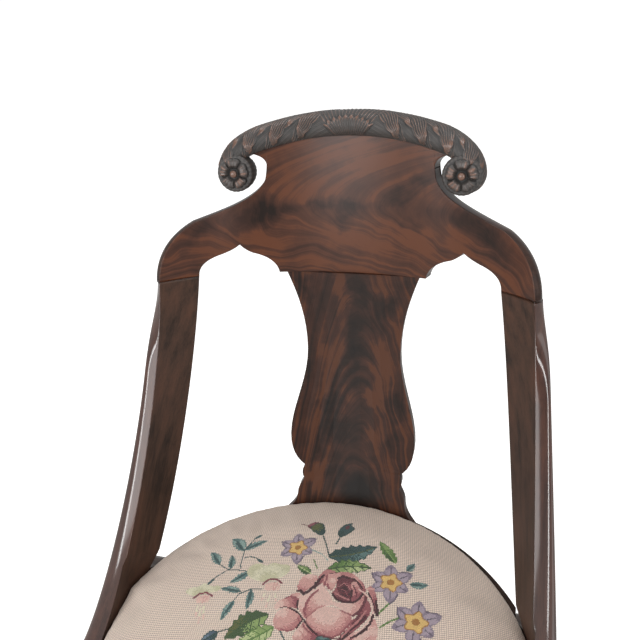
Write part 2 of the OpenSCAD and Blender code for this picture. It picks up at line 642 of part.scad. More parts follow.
module side_tenons(grow = 0) for (s = [-1, 1]) {
  translate([s * (frame_x - frame_w / 2) - frame_w * 0.3 - grow, inner_front - side_tenon - grow,
    frame_z + frame_t / 3 - grow])
    cube([frame_w * 0.6 + grow * 2, side_tenon + 1 + grow, frame_t / 3 + grow * 2]);
  translate([s * (frame_x - frame_w / 2) - frame_w * 0.3 - grow, split_y - 1,
    frame_z + frame_t / 3 - grow])
    cube([frame_w * 0.6 + grow * 2, side_tenon + 1 + grow, frame_t / 3 + grow * 2]);
}
module half_space(x0, x1, y0, y1) translate([x0, y0, frame_z - 1]) cube([x1 - x0, y1 - y0, frame_t + 2]);
module seat_frame_front() color(ash_wood) difference() {
  intersection() {
    seat_slab(frame_z, frame_t);
    half_space(-side_x, side_x, front_y, inner_front);
  }
  side_tenons(fit);
}
module seat_frame_rear() color(ash_wood) difference() {
  intersection() {
    seat_slab(frame_z, frame_t);
    half_space(-side_x, side_x, split_y, rear_y);
  }
  translate([0, ring_y, frame_z - 1]) cylinder(h = frame_t + 2, r = frame_r - frame_w, $fn = 96);
  side_tenons(fit);
}
module seat_frame_side(side) color(ash_wood) sided(side) {
  intersection() {
    seat_slab(frame_z, frame_t);
    half_space(inner_x, side_x, inner_front + fit, split_y - fit);
  }
  intersection() {
    side_tenons();
    half_space(inner_x, side_x, front_y, rear_y);
  }
}
module seat_frame_left() seat_frame_side(-1);
module seat_frame_right() seat_frame_side(1);

web_w = 50;
web_t = 1.2;
web_z = frame_top + fit;
web_gap = (inner_x * 2 - web_w * 3) / 4;
module webbing_long() color(linen) for (i = [-1 : 1])
  translate([i * (web_w + web_gap) - web_w / 2, frame_front + 12, web_z])
    cube([web_w, ring_y + frame_r * 0.78 - frame_front - 12, web_t]);
web_y = [for (i = [0 : 2]) mix(inner_front + 8, ring_y + frame_r * 0.42, i / 2)];
function web_half(y) = min(frame_x, sqrt(pow(frame_r, 2) - pow(max(0, y + web_w - ring_y), 2))) - 12;
module webbing_cross() color(linen) for (y = web_y)
  translate([-web_half(y), y, web_z + web_t + fit]) cube([web_half(y) * 2, web_w, web_t]);
hessian_z = web_z + (web_t + fit) * 2;
module hessian() color(linen) seat_slab(hessian_z, 0.8, -6);
module dust_cloth() color("dimgray") seat_slab(frame_z - fit - 0.8, 0.8, -hem_w - 1);

// Cushion shape: crown, rounded shoulder and drawn-in side; k runs 0 at the edge to 1 at the middle
hem_w = 18;
mid_y = (ring_y + frame_r + frame_front) / 2;
side_z = frame_top + edge_h;
function crown_z(k, off) = side_z + (crown_h - edge_h) * sqrt(1 - pow(1 - k, crown_full)) - off;
function seat_ring(grow, k, z) = [for (p = seat_outline(grow))
  [p[0] * (1 - k), mid_y + (p[1] - mid_y) * (1 - k), z]];
crown_steps = [0.012, 0.05, 0.11, 0.2, 0.31, 0.45, 0.62, 0.8, 0.96];
function crown_rings(off) = [for (k = crown_steps) seat_ring(cover_t + bulge - off, k, crown_z(k, off))];
cover_out = concat(
  [seat_ring(-hem_w, 0, frame_z - cover_t), seat_ring(cover_t - 2, 0, frame_z - cover_t),
   seat_ring(cover_t, 0, frame_z - cover_t + 2), seat_ring(cover_t, 0, rear_top + 1),
   seat_ring(cover_t + bulge * 0.8, 0, side_z - edge_h * 0.35), seat_ring(cover_t + bulge, 0, side_z)],
  crown_rings(0));
function flip(list) = [for (i = [len(list) - 1 : -1 : 0]) list[i]];
cover_in = concat(
  [seat_ring(-hem_w, 0, frame_z - 0.05), seat_ring(0.05, 0, frame_z - 0.05),
   seat_ring(0.05, 0, rear_top + 1),
   seat_ring(bulge * 0.8, 0, side_z - edge_h * 0.35), seat_ring(bulge, 0, side_z)],
  crown_rings(cover_t));
module needlepoint_cover() color(ground_wool) skin(concat(flip(cover_out), cover_in));
module stuffing() color(linen) skin(flip(concat(
  [seat_ring(-6, 0, hessian_z + 0.8 + fit), seat_ring(-fit, 0, hessian_z + 1.6 + fit),
   seat_ring(bulge * 0.8 - fit, 0, side_z - edge_h * 0.35), seat_ring(bulge - fit, 0, side_z)],
  crown_rings(cover_t + fit))));

crest_board();
crest_veneer();
crest_roll();
rosette_left();
rosette_right();
roll_dowels();
crest_dowels();
splat_core();
splat_veneer();
stile_left();
stile_right();
rear_rail();
front_rail();
front_leg_left();
front_leg_right();
rear_leg_left();
rear_leg_right();
ledger_left();
ledger_right();
ledger_screws();
rail_dowels();
leg_dowels();
seat_frame_front();
seat_frame_rear();
seat_frame_left();
seat_frame_right();
webbing_long();
webbing_cross();
hessian();
stuffing();
needlepoint_cover();
dust_cloth();
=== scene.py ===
# %% [markdown]
# # A gondola side chair in flame mahogany with a needlepoint seat
# The chair's solids come from a CAD model that is already packed, so nothing is measured
# or fitted here. Blender adds what a CAD model leaves out: the figure of the veneer, the
# fine carving, the stuffed seat and its wool stitches, and the light. Each step says what
# the piece is on the real chair and why it is made the way it is.

# %% Tools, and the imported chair
import math

import bpy
import numpy as np
from mathutils import Matrix, Vector
from mathutils.bvhtree import BVHTree


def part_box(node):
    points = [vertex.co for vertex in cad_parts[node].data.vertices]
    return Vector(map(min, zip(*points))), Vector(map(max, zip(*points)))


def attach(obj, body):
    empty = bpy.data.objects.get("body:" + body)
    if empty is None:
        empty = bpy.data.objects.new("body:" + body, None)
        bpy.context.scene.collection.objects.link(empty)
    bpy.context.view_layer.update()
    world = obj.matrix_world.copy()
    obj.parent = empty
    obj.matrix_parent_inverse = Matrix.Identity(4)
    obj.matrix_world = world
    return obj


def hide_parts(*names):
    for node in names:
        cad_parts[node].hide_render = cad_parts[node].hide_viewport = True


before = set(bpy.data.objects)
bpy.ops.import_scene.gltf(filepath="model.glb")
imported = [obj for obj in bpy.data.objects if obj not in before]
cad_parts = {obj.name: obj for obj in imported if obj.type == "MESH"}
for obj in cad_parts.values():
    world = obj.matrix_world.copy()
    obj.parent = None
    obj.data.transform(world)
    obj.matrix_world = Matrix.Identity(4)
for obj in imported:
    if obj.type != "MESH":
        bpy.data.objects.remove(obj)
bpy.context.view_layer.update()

# %% [markdown]
# ## Small helpers
# Colours are written as sRGB hex, the numbers that a colour picker shows. Blender mixes
# light in linear values, so one function turns them over. Node materials are long to
# write out, so one function adds any node, sets its options and links or fills its
# inputs. Most pieces here are skins over rings of points, so one function joins rings
# with faces. Sizes are given in millimetres, as a joiner would, and Blender works in
# metres.

# %% Colour, node and mesh helpers
MM = 0.001


def linear(hex_colour):
    """The linear colour, with alpha, of an sRGB hex value."""
    channels = [int(hex_colour[i : i + 2], 16) / 255 for i in (1, 3, 5)]
    return tuple(c / 12.92 if c <= 0.04045 else ((c + 0.055) / 1.055) ** 2.4 for c in channels) + (1.0,)


def fill(node, inputs):
    """Links each input that is given a socket and sets the others."""
    for key, value in inputs.items():
        if isinstance(value, bpy.types.NodeSocket):
            node.id_data.links.new(value, node.inputs[key])
        else:
            node.inputs[key].default_value = value


def add(tree, kind, inputs=None, stops=(), **options):
    """Adds a node with its options, its inputs and, for a colour ramp, its stops."""
    node = tree.nodes.new(kind)
    for name, value in options.items():
        setattr(node, name, value)
    fill(node, inputs or {})
    for i, (place, colour) in enumerate(stops):
        elements = node.color_ramp.elements
        stop = elements[i] if i < len(elements) else elements.new(place)
        stop.position = place
        stop.color = linear(colour) if isinstance(colour, str) else (colour, colour, colour, 1)
    return node


def start_material(name):
    """A material with a shader and nothing else, and its node tree."""
    material = bpy.data.materials.new(name)
    material.use_nodes = True
    tree = material.node_tree
    tree.nodes.clear()
    shader = add(tree, "ShaderNodeBsdfPrincipled")
    add(tree, "ShaderNodeOutputMaterial", {"Surface": shader.outputs[0]})
    return material, tree, shader


def make_mesh(name, points, faces):
    """A smooth-shaded mesh from points in metres."""
    mesh = bpy.data.meshes.new(name)
    mesh.from_pydata([tuple(p) for p in points], [], faces)
    mesh.update()
    mesh.shade_smooth()
    piece = bpy.data.objects.new(name, mesh)
    bpy.context.scene.collection.objects.link(piece)
    return piece


def ring_faces(count, around):
    """Quads between rings of points, one above the other, and a lid on each end."""
    quads = []
    for i in range(count - 1):
        for j in range(around):
            n = (j + 1) % around
            quads.append((i * around + j, i * around + n, (i + 1) * around + n, (i + 1) * around + j))
    return quads + [tuple(range(around))[::-1], tuple(range((count - 1) * around, count * around))]


print("mahogany red in linear values:", np.round(linear("#5a3428")[:3], 4))

# %% [markdown]
# ## The camera
# The chair was photographed from a standing height, close up, a little from its right
# and with the camera tipped. The place and the three turns below were found by laying
# the outline of the CAD model over the picture until the crest, stiles and seat agreed.

# %% Camera
lens_pixels = 750
picture_width = 640
yaw, pitch, roll = (math.radians(a) for a in (18.61, 33.98, -6.99))
forward = Vector((-math.sin(yaw) * math.cos(pitch), math.cos(yaw) * math.cos(pitch), -math.sin(pitch)))
level_right = Vector((math.cos(yaw), math.sin(yaw), 0))
level_up = level_right.cross(forward)
camera_right = math.cos(roll) * level_right + math.sin(roll) * level_up
camera_up = -math.sin(roll) * level_right + math.cos(roll) * level_up
eye = Vector((0.1905, -0.4675, 1.1075))

camera_data = bpy.data.cameras.new("Camera")
camera_data.sensor_width = 36
camera_data.lens = camera_data.sensor_width * lens_pixels / picture_width
camera = bpy.data.objects.new("Camera", camera_data)
bpy.context.scene.collection.objects.link(camera)
camera.matrix_world = Matrix((
    (camera_right[0], camera_up[0], -forward[0], eye[0]),
    (camera_right[1], camera_up[1], -forward[1], eye[1]),
    (camera_right[2], camera_up[2], -forward[2], eye[2]),
    (0, 0, 0, 1),
))
bpy.context.scene.camera = camera
print("lens", round(camera_data.lens, 2), "mm at", [round(c, 3) for c in eye])

# %% [markdown]
# ## Floor, backdrop and light
# The chair stands on a pale seamless floor in soft studio light. The background looks
# white because the world is white to the camera and to reflections, while its light on
# the chair stays plain. Mirrored rays that run low past the chair's front see a dark
# room instead, as polish in a real room does, or the wood would look hazy. Large lamps
# give the long soft highlights on polished edges.

# %% Floor and world
def seen_rays(tree, mirrored):
    """1 for rays that show the background, and the given share for mirrored ones."""
    ray = add(tree, "ShaderNodeLightPath")
    both = add(tree, "ShaderNodeMath",
               {0: ray.outputs["Is Camera Ray"], 1: ray.outputs["Is Transmission Ray"]}, operation="MAXIMUM")
    glossy = add(tree, "ShaderNodeMath", {0: ray.outputs["Is Glossy Ray"], 1: mirrored}, operation="MULTIPLY")
    return add(tree, "ShaderNodeMath", {0: both.outputs[0], 1: glossy.outputs[0]},
               operation="MAXIMUM").outputs[0]


floor = make_mesh("studio_floor", [(-6, -6, 0), (6, -6, 0), (6, 6, 0), (-6, 6, 0)], [(0, 1, 2, 3)])
floor_paint, tree, shader = start_material("matt_white_studio_floor")
lift = add(tree, "ShaderNodeMath", {0: seen_rays(tree, 0.4), 1: 0.62}, operation="MULTIPLY")
fill(shader, {"Base Color": linear("#f4f3f1"), "Roughness": 0.9,
              "Emission Color": linear("#ffffff"), "Emission Strength": lift.outputs[0]})
floor.data.materials.append(floor_paint)

world = bpy.data.worlds.new("studio")
bpy.context.scene.world = world
world.use_nodes = True
tree = world.node_tree
tree.nodes.clear()
heading = add(tree, "ShaderNodeTexCoord")
heading = add(tree, "ShaderNodeSeparateXYZ", {0: heading.outputs["Generated"]})
ahead = add(tree, "ShaderNodeMapRange", {"Value": heading.outputs[1], 1: -0.85, 2: -0.35, 3: 1.0, 4: 0.0},
            interpolation_type="SMOOTHSTEP")
low = add(tree, "ShaderNodeMapRange", {"Value": heading.outputs[2], 1: 0.35, 2: 0.8, 3: 0.8, 4: 0.0},
          interpolation_type="SMOOTHSTEP")
dark_room = add(tree, "ShaderNodeMath", {0: ahead.outputs[0], 1: low.outputs[0]}, operation="MULTIPLY")
white_room = add(tree, "ShaderNodeMath", {0: 1.0, 1: dark_room.outputs[0]}, operation="SUBTRACT")
ray = add(tree, "ShaderNodeLightPath")
room_light = add(tree, "ShaderNodeMath", {0: ray.outputs["Is Glossy Ray"], 1: -0.3, 2: 0.42},
                 operation="MULTIPLY_ADD")
strength = add(tree, "ShaderNodeMath",
               {0: seen_rays(tree, white_room.outputs[0]), 1: room_light.outputs[0]}, operation="MAXIMUM")
sky = add(tree, "ShaderNodeBackground", {"Color": linear("#ffffff"), "Strength": strength.outputs[0]})
add(tree, "ShaderNodeOutputWorld", {"Surface": sky.outputs[0]})
bpy.context.scene.view_settings.view_transform = "Standard"
print("floor and world are white to the camera")


# %% Lamps
def soft_box(name, place, target, size, watts):
    """A lamp with a rectangular face that looks at its target."""
    lamp = bpy.data.lights.new(name, "AREA")
    lamp.shape = "RECTANGLE"
    lamp.size, lamp.size_y = size
    lamp.energy = watts
    box = bpy.data.objects.new(name, lamp)
    box.location = place
    box.rotation_euler = (Vector(target) - Vector(place)).to_track_quat("-Z", "Y").to_euler()
    bpy.context.scene.collection.objects.link(box)
    print(name, watts, "W")


soft_box("front_box", (-0.9, -2.4, 1.9), (0, 0, 0.6), (1.8, 1.2), 30)
soft_box("top_strip", (0.2, 0.5, 2.4), (0.1, 0.1, 0.5), (1.6, 0.2), 12)
soft_box("left_strip", (-1.5, -1.5, 1.45), (-0.2, 0, 0.6), (0.16, 1.3), 13)
soft_box("right_strip", (1.2, -1.6, 1.5), (0.2, 0.1, 0.6), (0.16, 1.3), 13)
soft_box("low_sheen", (-0.6, -2.6, 1.25), (0, 0.2, 0.78), (1.0, 0.45), 13)
soft_box("side_box", (2.4, -0.6, 1.6), (0, 0.1, 0.6), (1.0, 1.6), 8)

# %% [markdown]
# ## Mahogany under French polish
# Mahogany is red-brown with short dark pores along the grain. French polish is thin
# shellac rubbed on by hand: it gives a glossy, slightly uneven coat over the wood, so
# the shader has a plain rough base and a clear coat on top. The grain is noise that is
# stretched along the grain: bands 9 mm wide, fibres 1.1 mm and pores 0.7 mm. Real
# fibres and pores are about 0.2 mm wide. They are drawn wider so that they show, but
# keep their length.


# %% Solid mahogany
def grain_space(tree, direction, across_mm, along_mm):
    """Object coordinates in grain widths, stretched along the given direction."""
    place = add(tree, "ShaderNodeTexCoord")
    along = Vector(direction).normalized()
    run = add(tree, "ShaderNodeVectorMath", {0: place.outputs["Object"], 1: along}, operation="DOT_PRODUCT")
    squeeze = (1 / across_mm - 1 / along_mm) / MM
    run = add(tree, "ShaderNodeMath", {0: run.outputs["Value"], 1: squeeze}, operation="MULTIPLY")
    back = add(tree, "ShaderNodeVectorMath", {0: along, "Scale": run.outputs[0]}, operation="SCALE")
    fine = add(tree, "ShaderNodeVectorMath", {0: place.outputs["Object"], "Scale": 1 / (across_mm * MM)},
               operation="SCALE")
    return add(tree, "ShaderNodeVectorMath", {0: fine.outputs[0], 1: back.outputs[0]},
               operation="SUBTRACT").outputs[0]


def polish(shader, gloss, coat, coat_gloss=0.16, coat_ior=1.35):
    """Shellac on wood: a base that hardly shines, under a clear coat that does."""
    fill(shader, {"Roughness": gloss, "IOR": 1.5, "Specular IOR Level": 0.08,
                  "Coat Weight": coat, "Coat Roughness": coat_gloss, "Coat IOR": coat_ior})


def solid_mahogany(name, direction, tones, gloss=0.5, coat=0.4, coat_gloss=0.16, cloudy=0.3, coat_ior=1.35):
    """Clouds, bands, fibres and pores along the grain, in tones from dark to light."""
    material, tree, shader = start_material(name)
    place = add(tree, "ShaderNodeTexCoord")
    clouds = add(tree, "ShaderNodeTexNoise",
                 {"Vector": place.outputs["Object"], "Scale": 17.0, "Detail": 2.0})
    clouds = add(tree, "ShaderNodeMath", {0: clouds.outputs["Fac"], 1: -0.5}, operation="ADD")
    bands = add(tree, "ShaderNodeTexNoise", {
        "Vector": grain_space(tree, direction, 9, 220), "Scale": 1.0, "Detail": 3.0, "Roughness": 0.6})
    fibres = add(tree, "ShaderNodeTexNoise",
                 {"Vector": grain_space(tree, direction, 1.1, 24), "Scale": 1.0, "Detail": 2.0})
    pores = add(tree, "ShaderNodeTexNoise",
                {"Vector": grain_space(tree, direction, 0.7, 7), "Scale": 1.0, "Detail": 1.0})
    tone = add(tree, "ShaderNodeMath", {0: fibres.outputs["Fac"], 1: 0.30, 2: bands.outputs["Fac"]},
               operation="MULTIPLY_ADD")
    tone = add(tree, "ShaderNodeMath", {0: clouds.outputs[0], 1: cloudy, 2: tone.outputs[0]},
               operation="MULTIPLY_ADD")
    colour = add(tree, "ShaderNodeValToRGB", {"Fac": tone.outputs[0]},
                 stops=[(0.40, tones[0]), (0.64, tones[1]), (0.90, tones[2])])
    pits = add(tree, "ShaderNodeValToRGB", {"Fac": pores.outputs["Fac"]}, stops=[(0.30, 0.72), (0.40, 1.0)])
    shade = add(tree, "ShaderNodeMix", {"Factor": 0.6, "A": colour.outputs[0], "B": pits.outputs[0]},
                data_type="RGBA", blend_type="MULTIPLY")
    relief = add(tree, "ShaderNodeBump",
                 {"Strength": 0.12, "Distance": 0.4 * MM, "Height": fibres.outputs["Fac"]})
    fill(shader, {"Base Color": shade.outputs["Result"], "Normal": relief.outputs[0]})
    polish(shader, gloss, coat, coat_gloss, coat_ior)
    return material


stile_mahogany = solid_mahogany("french_polished_mahogany_stiles", (0, 0.72, 0.69),
                                ("#22160f", "#3c291f", "#4a3125"), 0.5, 0.6, 0.34, 0.6)
rounded_mahogany = solid_mahogany("french_polished_mahogany_rounds", (0, 0.72, 0.69),
                                  ("#2c1a14", "#402820", "#4e3126"), 0.5, 1.0, 0.12, coat_ior=1.5)
leg_mahogany = solid_mahogany("french_polished_mahogany_legs", (0, 0.1, 1), ("#21150f", "#35231c", "#452f25"))
# the rear rail is given darker tones than the other mahoganies: painted shade for its lip, seen in the gap
# behind the seat
shade_darkened_rail_mahogany = solid_mahogany("french_polished_mahogany_rails_shade_darkened", (1, 0, 0),
                               ("#1a110d", "#2b1c17", "#38261e"), 0.55, 0.15, 0.3)
board_mahogany = solid_mahogany("french_polished_mahogany_board", (1, 0, 0.1),
                                ("#1f130f", "#2f1f19", "#3d2920"))
print("five solid mahoganies")

# %% [markdown]
# ## Flame veneer
# The crest and splat are faced with veneer cut through the fork of a tree, where the
# grain fans out like a flame. The fan is a set of parabolas that open away from a dark
# spine, so noise laid along those curves reads as flame figure. It is bent by a slow
# noise, because no real figure is regular. Light strikes are about 20 mm wide and five
# times as long, and the fibres between them 2 mm wide, which is ten times the real
# width, so that they show. Dark and light patches lie where the real leaf has them,
# and a light patch across the crest's top middle is painted sheen.


# %% Flame veneer material
def flame_veneer(name, along, across, spine, open_above, open_below, tones, spine_dark, drift, patches):
    """Fan figure, fine fibres and cloudy patches (across mm, up mm, half sizes mm, tilt, gain)."""
    material, tree, shader = start_material(name)
    place = add(tree, "ShaderNodeTexCoord")
    millimetres = add(tree, "ShaderNodeVectorMath", {0: place.outputs["Object"], "Scale": 1 / MM},
                      operation="SCALE")
    slow = add(tree, "ShaderNodeTexNoise", {"Vector": millimetres.outputs[0], "Scale": 1 / 70, "Detail": 2.0})
    wander = add(tree, "ShaderNodeMapRange",
                 {"Value": slow.outputs["Fac"], 1: 0.3, 2: 0.7, 3: -drift, 4: drift})
    run = add(tree, "ShaderNodeVectorMath", {0: millimetres.outputs[0], 1: Vector(along)},
              operation="DOT_PRODUCT")
    side = add(tree, "ShaderNodeVectorMath", {0: millimetres.outputs[0], 1: Vector(across)},
               operation="DOT_PRODUCT")
    side = add(tree, "ShaderNodeMath", {0: side.outputs["Value"], 1: -spine}, operation="ADD")
    side = add(tree, "ShaderNodeMath", {0: wander.outputs[0], 1: 0.35, 2: side.outputs[0]},
               operation="MULTIPLY_ADD")
    above = add(tree, "ShaderNodeMath", {0: side.outputs[0], 1: 0.0}, operation="GREATER_THAN")
    opening = add(tree, "ShaderNodeMapRange",
                  {"Value": above.outputs[0], 1: 0.0, 2: 1.0, 3: open_below, 4: open_above})
    square = add(tree, "ShaderNodeMath", {0: side.outputs[0], 1: side.outputs[0]}, operation="MULTIPLY")
    bend = add(tree, "ShaderNodeMath", {0: square.outputs[0], 1: opening.outputs[0]}, operation="MULTIPLY")
    flame = add(tree, "ShaderNodeMath", {0: run.outputs["Value"], 1: bend.outputs[0]}, operation="SUBTRACT")
    flame = add(tree, "ShaderNodeMath", {0: flame.outputs[0], 1: wander.outputs[0]}, operation="ADD")
    flat = add(tree, "ShaderNodeCombineXYZ", {0: flame.outputs[0], 1: side.outputs[0]})
    strikes = add(tree, "ShaderNodeVectorMath", {0: flat.outputs[0], 1: (1 / 20, 1 / 110, 0)},
                  operation="MULTIPLY")
    strikes = add(tree, "ShaderNodeTexNoise",
                  {"Vector": strikes.outputs[0], "Scale": 1.0, "Detail": 3.2, "Roughness": 0.5})
    fibres = add(tree, "ShaderNodeVectorMath", {0: flat.outputs[0], 1: (1 / 1.9, 1 / 45, 0)},
                 operation="MULTIPLY")
    fibres = add(tree, "ShaderNodeTexNoise", {"Vector": fibres.outputs[0], "Scale": 1.0, "Detail": 2.0})
    clouds = add(tree, "ShaderNodeTexNoise",
                 {"Vector": millimetres.outputs[0], "Scale": 1 / 30, "Detail": 3.0})
    tone = add(tree, "ShaderNodeMath", {0: fibres.outputs["Fac"], 1: 0.28, 2: strikes.outputs["Fac"]},
               operation="MULTIPLY_ADD")
    tone = add(tree, "ShaderNodeMath", {0: clouds.outputs["Fac"], 1: 0.5, 2: tone.outputs[0]},
               operation="MULTIPLY_ADD")
    near = add(tree, "ShaderNodeMath", {0: square.outputs[0], 1: -1 / spine_dark**2}, operation="MULTIPLY")
    near = add(tree, "ShaderNodeMath", {0: near.outputs[0]}, operation="EXPONENT")
    tone = add(tree, "ShaderNodeMath", {0: near.outputs[0], 1: -0.12, 2: tone.outputs[0]},
               operation="MULTIPLY_ADD")
    ragged = add(tree, "ShaderNodeTexNoise",
                 {"Vector": millimetres.outputs[0], "Scale": 1 / 14, "Detail": 3.0})
    ragged = add(tree, "ShaderNodeVectorMath", {0: ragged.outputs["Color"], 1: (0.5, 0.5, 0.5)},
                 operation="SUBTRACT")
    edge_wander_mm = 26.0
    ragged = add(tree, "ShaderNodeVectorMath", {0: ragged.outputs[0], "Scale": edge_wander_mm},
                 operation="SCALE")
    ragged = add(tree, "ShaderNodeVectorMath", {0: ragged.outputs[0], 1: millimetres.outputs[0]},
                 operation="ADD")
    ragged = add(tree, "ShaderNodeVectorMath", {0: ragged.outputs[0], 1: (1, 0, 1)}, operation="MULTIPLY")
    for x, z, half_x, half_z, tilt, gain in patches:
        inside = add(tree, "ShaderNodeMapping", {
            "Vector": ragged.outputs[0], "Location": (x, 0, z), "Rotation": (0, -math.radians(tilt), 0),
            "Scale": (half_x, 1, half_z)}, vector_type="TEXTURE")
        inside = add(tree, "ShaderNodeTexGradient", {"Vector": inside.outputs[0]}, gradient_type="SPHERICAL")
        tone = add(tree, "ShaderNodeMath", {0: inside.outputs["Fac"], 1: gain, 2: tone.outputs[0]},
                   operation="MULTIPLY_ADD")
    colour = add(tree, "ShaderNodeValToRGB", {"Fac": tone.outputs[0]},
                 stops=[(0.40, tones[0]), (0.68, tones[1]), (0.90, tones[2]), (1.0, tones[3])])
    relief = add(tree, "ShaderNodeBump",
                 {"Strength": 0.06, "Distance": 0.4 * MM, "Height": fibres.outputs["Fac"]})
    fill(shader, {"Base Color": colour.outputs[0], "Normal": relief.outputs[0]})
    polish(shader, 0.5, 0.65, 0.27)
    return material


# the light patch across the top middle, at 0 across and 800 up, is painted sheen
crest_patches = [
    (-104, 744, 42, 17, 8, -0.42), (-92, 757, 16, 14, 0, -0.30), (-165, 738, 34, 12, 35, -0.25),
    (-7, 738, 18, 20, -45, -0.35), (50, 762, 20, 13, 25, -0.38), (78, 781, 26, 12, 32, -0.30),
    (-30, 751, 80, 7, 2, -0.22), (70, 735, 16, 14, 0, -0.28), (150, 740, 34, 16, -35, -0.38),
    (108, 752, 20, 12, 0, -0.20), (10, 715, 90, 22, -8, 0.22), (75, 722, 30, 12, -25, 0.20),
    (0, 800, 70, 20, 0, 0.10), (-95, 715, 40, 16, -12, 0.16), (118, 728, 26, 12, -35, 0.16),
]
splat_patches = [
    (-58, 655, 16, 22, 0, -0.36), (38, 640, 20, 20, 0, -0.42), (8, 650, 16, 22, 0, -0.30),
    (-2, 590, 14, 60, 0, -0.26), (-60, 560, 12, 30, -10, -0.30), (-26, 523, 20, 18, 10, -0.32),
    (-22, 494, 20, 24, 0, -0.34), (6, 430, 46, 26, -12, -0.50), (56, 530, 14, 22, 0, -0.25),
    (48, 486, 16, 18, 0, -0.18), (-15, 660, 10, 60, 4, 0.26), (34, 570, 14, 40, 6, 0.26),
    (24, 532, 12, 20, 30, 0.34), (18, 486, 22, 18, 30, 0.24), (-44, 440, 13, 26, -10, 0.36),
    (-40, 600, 12, 40, 0, 0.14), (58, 500, 14, 18, 0, 0.12),
]
crest_flame = flame_veneer(
    "flame_mahogany_crest", (1, 0, 0), (0.0, 0, 1), 752, 0.030, 0.050,
    ("#1b110d", "#352018", "#482b1f", "#583321"), 9, 16, crest_patches)
splat_flame = flame_veneer(
    "flame_mahogany_splat", (0, 0, 1), (1, 0, 0), 4, -0.045, -0.050,
    ("#110c0a", "#221611", "#372119", "#4c2c1c"), 16, 14, splat_patches)
front_flame = flame_veneer(
    "flame_mahogany_front_rail", (0, 0, 1), (1, 0, 0), 0, -0.004, -0.004,
    ("#1b1411", "#38261f", "#4f3429", "#643d29"), 25, 10, [])
print("three flame veneers")

# %% [markdown]
# ## Bare wood, cloth and metal that the upholstery hides
# Under the polish a chair is plain: ash rails and ledgers, jute webbing, hessian and
# a black dust cloth. They show from below or with the seat lifted out. Planed ash is
# pale and matt, with a darker line for each year. Jute and hessian are coarse plain
# weaves of uneven, hairy thread. Calico is a fine one, dyed black: its real thread is
# half as wide as drawn here, where it would not show. Old steel screws are dull and
# scratched by the turnscrew.


# %% Ash, jute, hessian, calico, steel
def bare_ash(name, direction):
    """Planed ash with a year's growth every 4 mm."""
    material, tree, shader = start_material(name)
    rings = add(tree, "ShaderNodeTexNoise",
                {"Vector": grain_space(tree, direction, 4, 160), "Scale": 1.0, "Detail": 3.0})
    colour = add(tree, "ShaderNodeValToRGB", {"Fac": rings.outputs["Fac"]},
                 stops=[(0.35, "#9c7d55"), (0.5, "#b8986d"), (0.7, "#c9ad83")])
    relief = add(tree, "ShaderNodeBump",
                 {"Strength": 0.25, "Distance": 0.5 * MM, "Height": rings.outputs["Fac"]})
    fill(shader, {"Base Color": colour.outputs[0], "Normal": relief.outputs[0], "Roughness": 0.68})
    return material


def woven(name, thread_mm, dark, light, rough):
    """Plain weave: warp and weft waves, one thread apart."""
    material, tree, shader = start_material(name)
    place = add(tree, "ShaderNodeTexCoord")
    wave = math.pi / (thread_mm * MM)
    turns = add(tree, "ShaderNodeVectorMath", {0: place.outputs["Object"], "Scale": wave}, operation="SCALE")
    waves = add(tree, "ShaderNodeVectorMath", {0: turns.outputs[0]}, operation="SINE")
    parts = add(tree, "ShaderNodeSeparateXYZ", {0: waves.outputs[0]})
    weave = add(tree, "ShaderNodeMath", {0: parts.outputs[0], 1: parts.outputs[1]}, operation="MULTIPLY")
    slub = add(tree, "ShaderNodeTexNoise", {"Vector": place.outputs["Object"], "Scale": 180.0, "Detail": 3.0})
    tone = add(tree, "ShaderNodeMath", {0: weave.outputs[0], 1: 0.3, 2: slub.outputs["Fac"]},
               operation="MULTIPLY_ADD")
    colour = add(tree, "ShaderNodeValToRGB", {"Fac": tone.outputs[0]}, stops=[(0.25, dark), (0.75, light)])
    relief = add(tree, "ShaderNodeBump", {"Strength": 0.5, "Distance": 0.6 * MM, "Height": tone.outputs[0]})
    fill(shader, {"Base Color": colour.outputs[0], "Normal": relief.outputs[0], "Roughness": rough})
    return material


ash_along_x = bare_ash("planed_ash_across", (1, 0, 0))
ash_along_y = bare_ash("planed_ash_lengthways", (0, 1, 0))
jute = woven("jute_webbing", 2.5, "#6d5433", "#a98a5c", 0.85)
hessian = woven("hessian_sacking", 1.8, "#7c6744", "#b39c70", 0.9)
horsehair = woven("horsehair_and_wadding", 1.2, "#8d8272", "#c9bfae", 0.95)
calico = woven("black_calico", 0.6, "#15151a", "#2b2b30", 0.85)
steel, tree, shader = start_material("dull_steel_screws")
scratches = add(tree, "ShaderNodeTexNoise", {"Scale": 900.0, "Detail": 2.0})
colour = add(tree, "ShaderNodeValToRGB", {"Fac": scratches.outputs["Fac"]},
             stops=[(0.3, "#6d6a64"), (0.7, "#9b978f")])
fill(shader, {"Base Color": colour.outputs[0], "Metallic": 1.0, "Roughness": 0.45})
print("hidden materials ready")

# %% Dress the CAD nodes
finishes = {
    "crest_board": board_mahogany, "crest_veneer": crest_flame, "splat_core": board_mahogany,
    "splat_veneer": splat_flame, "stile_left": stile_mahogany, "stile_right": stile_mahogany,
    "rear_rail": shade_darkened_rail_mahogany, "front_rail": front_flame,
    "front_leg_left": leg_mahogany, "front_leg_right": leg_mahogany,
    "rear_leg_left": leg_mahogany, "rear_leg_right": leg_mahogany,
    "crest_roll": board_mahogany, "rosette_left": board_mahogany, "rosette_right": board_mahogany,
    "roll_dowels": ash_along_x, "crest_dowels": ash_along_x, "rail_dowels": ash_along_y,
    "leg_dowels": ash_along_x, "ledger_left": ash_along_y, "ledger_right": ash_along_y,
    "ledger_screws": steel, "seat_frame_front": ash_along_x, "seat_frame_rear": ash_along_x,
    "seat_frame_left": ash_along_y, "seat_frame_right": ash_along_y,
    "webbing_long": jute, "webbing_cross": jute, "hessian": hessian, "stuffing": horsehair,
    "needlepoint_cover": horsehair, "dust_cloth": calico,
}
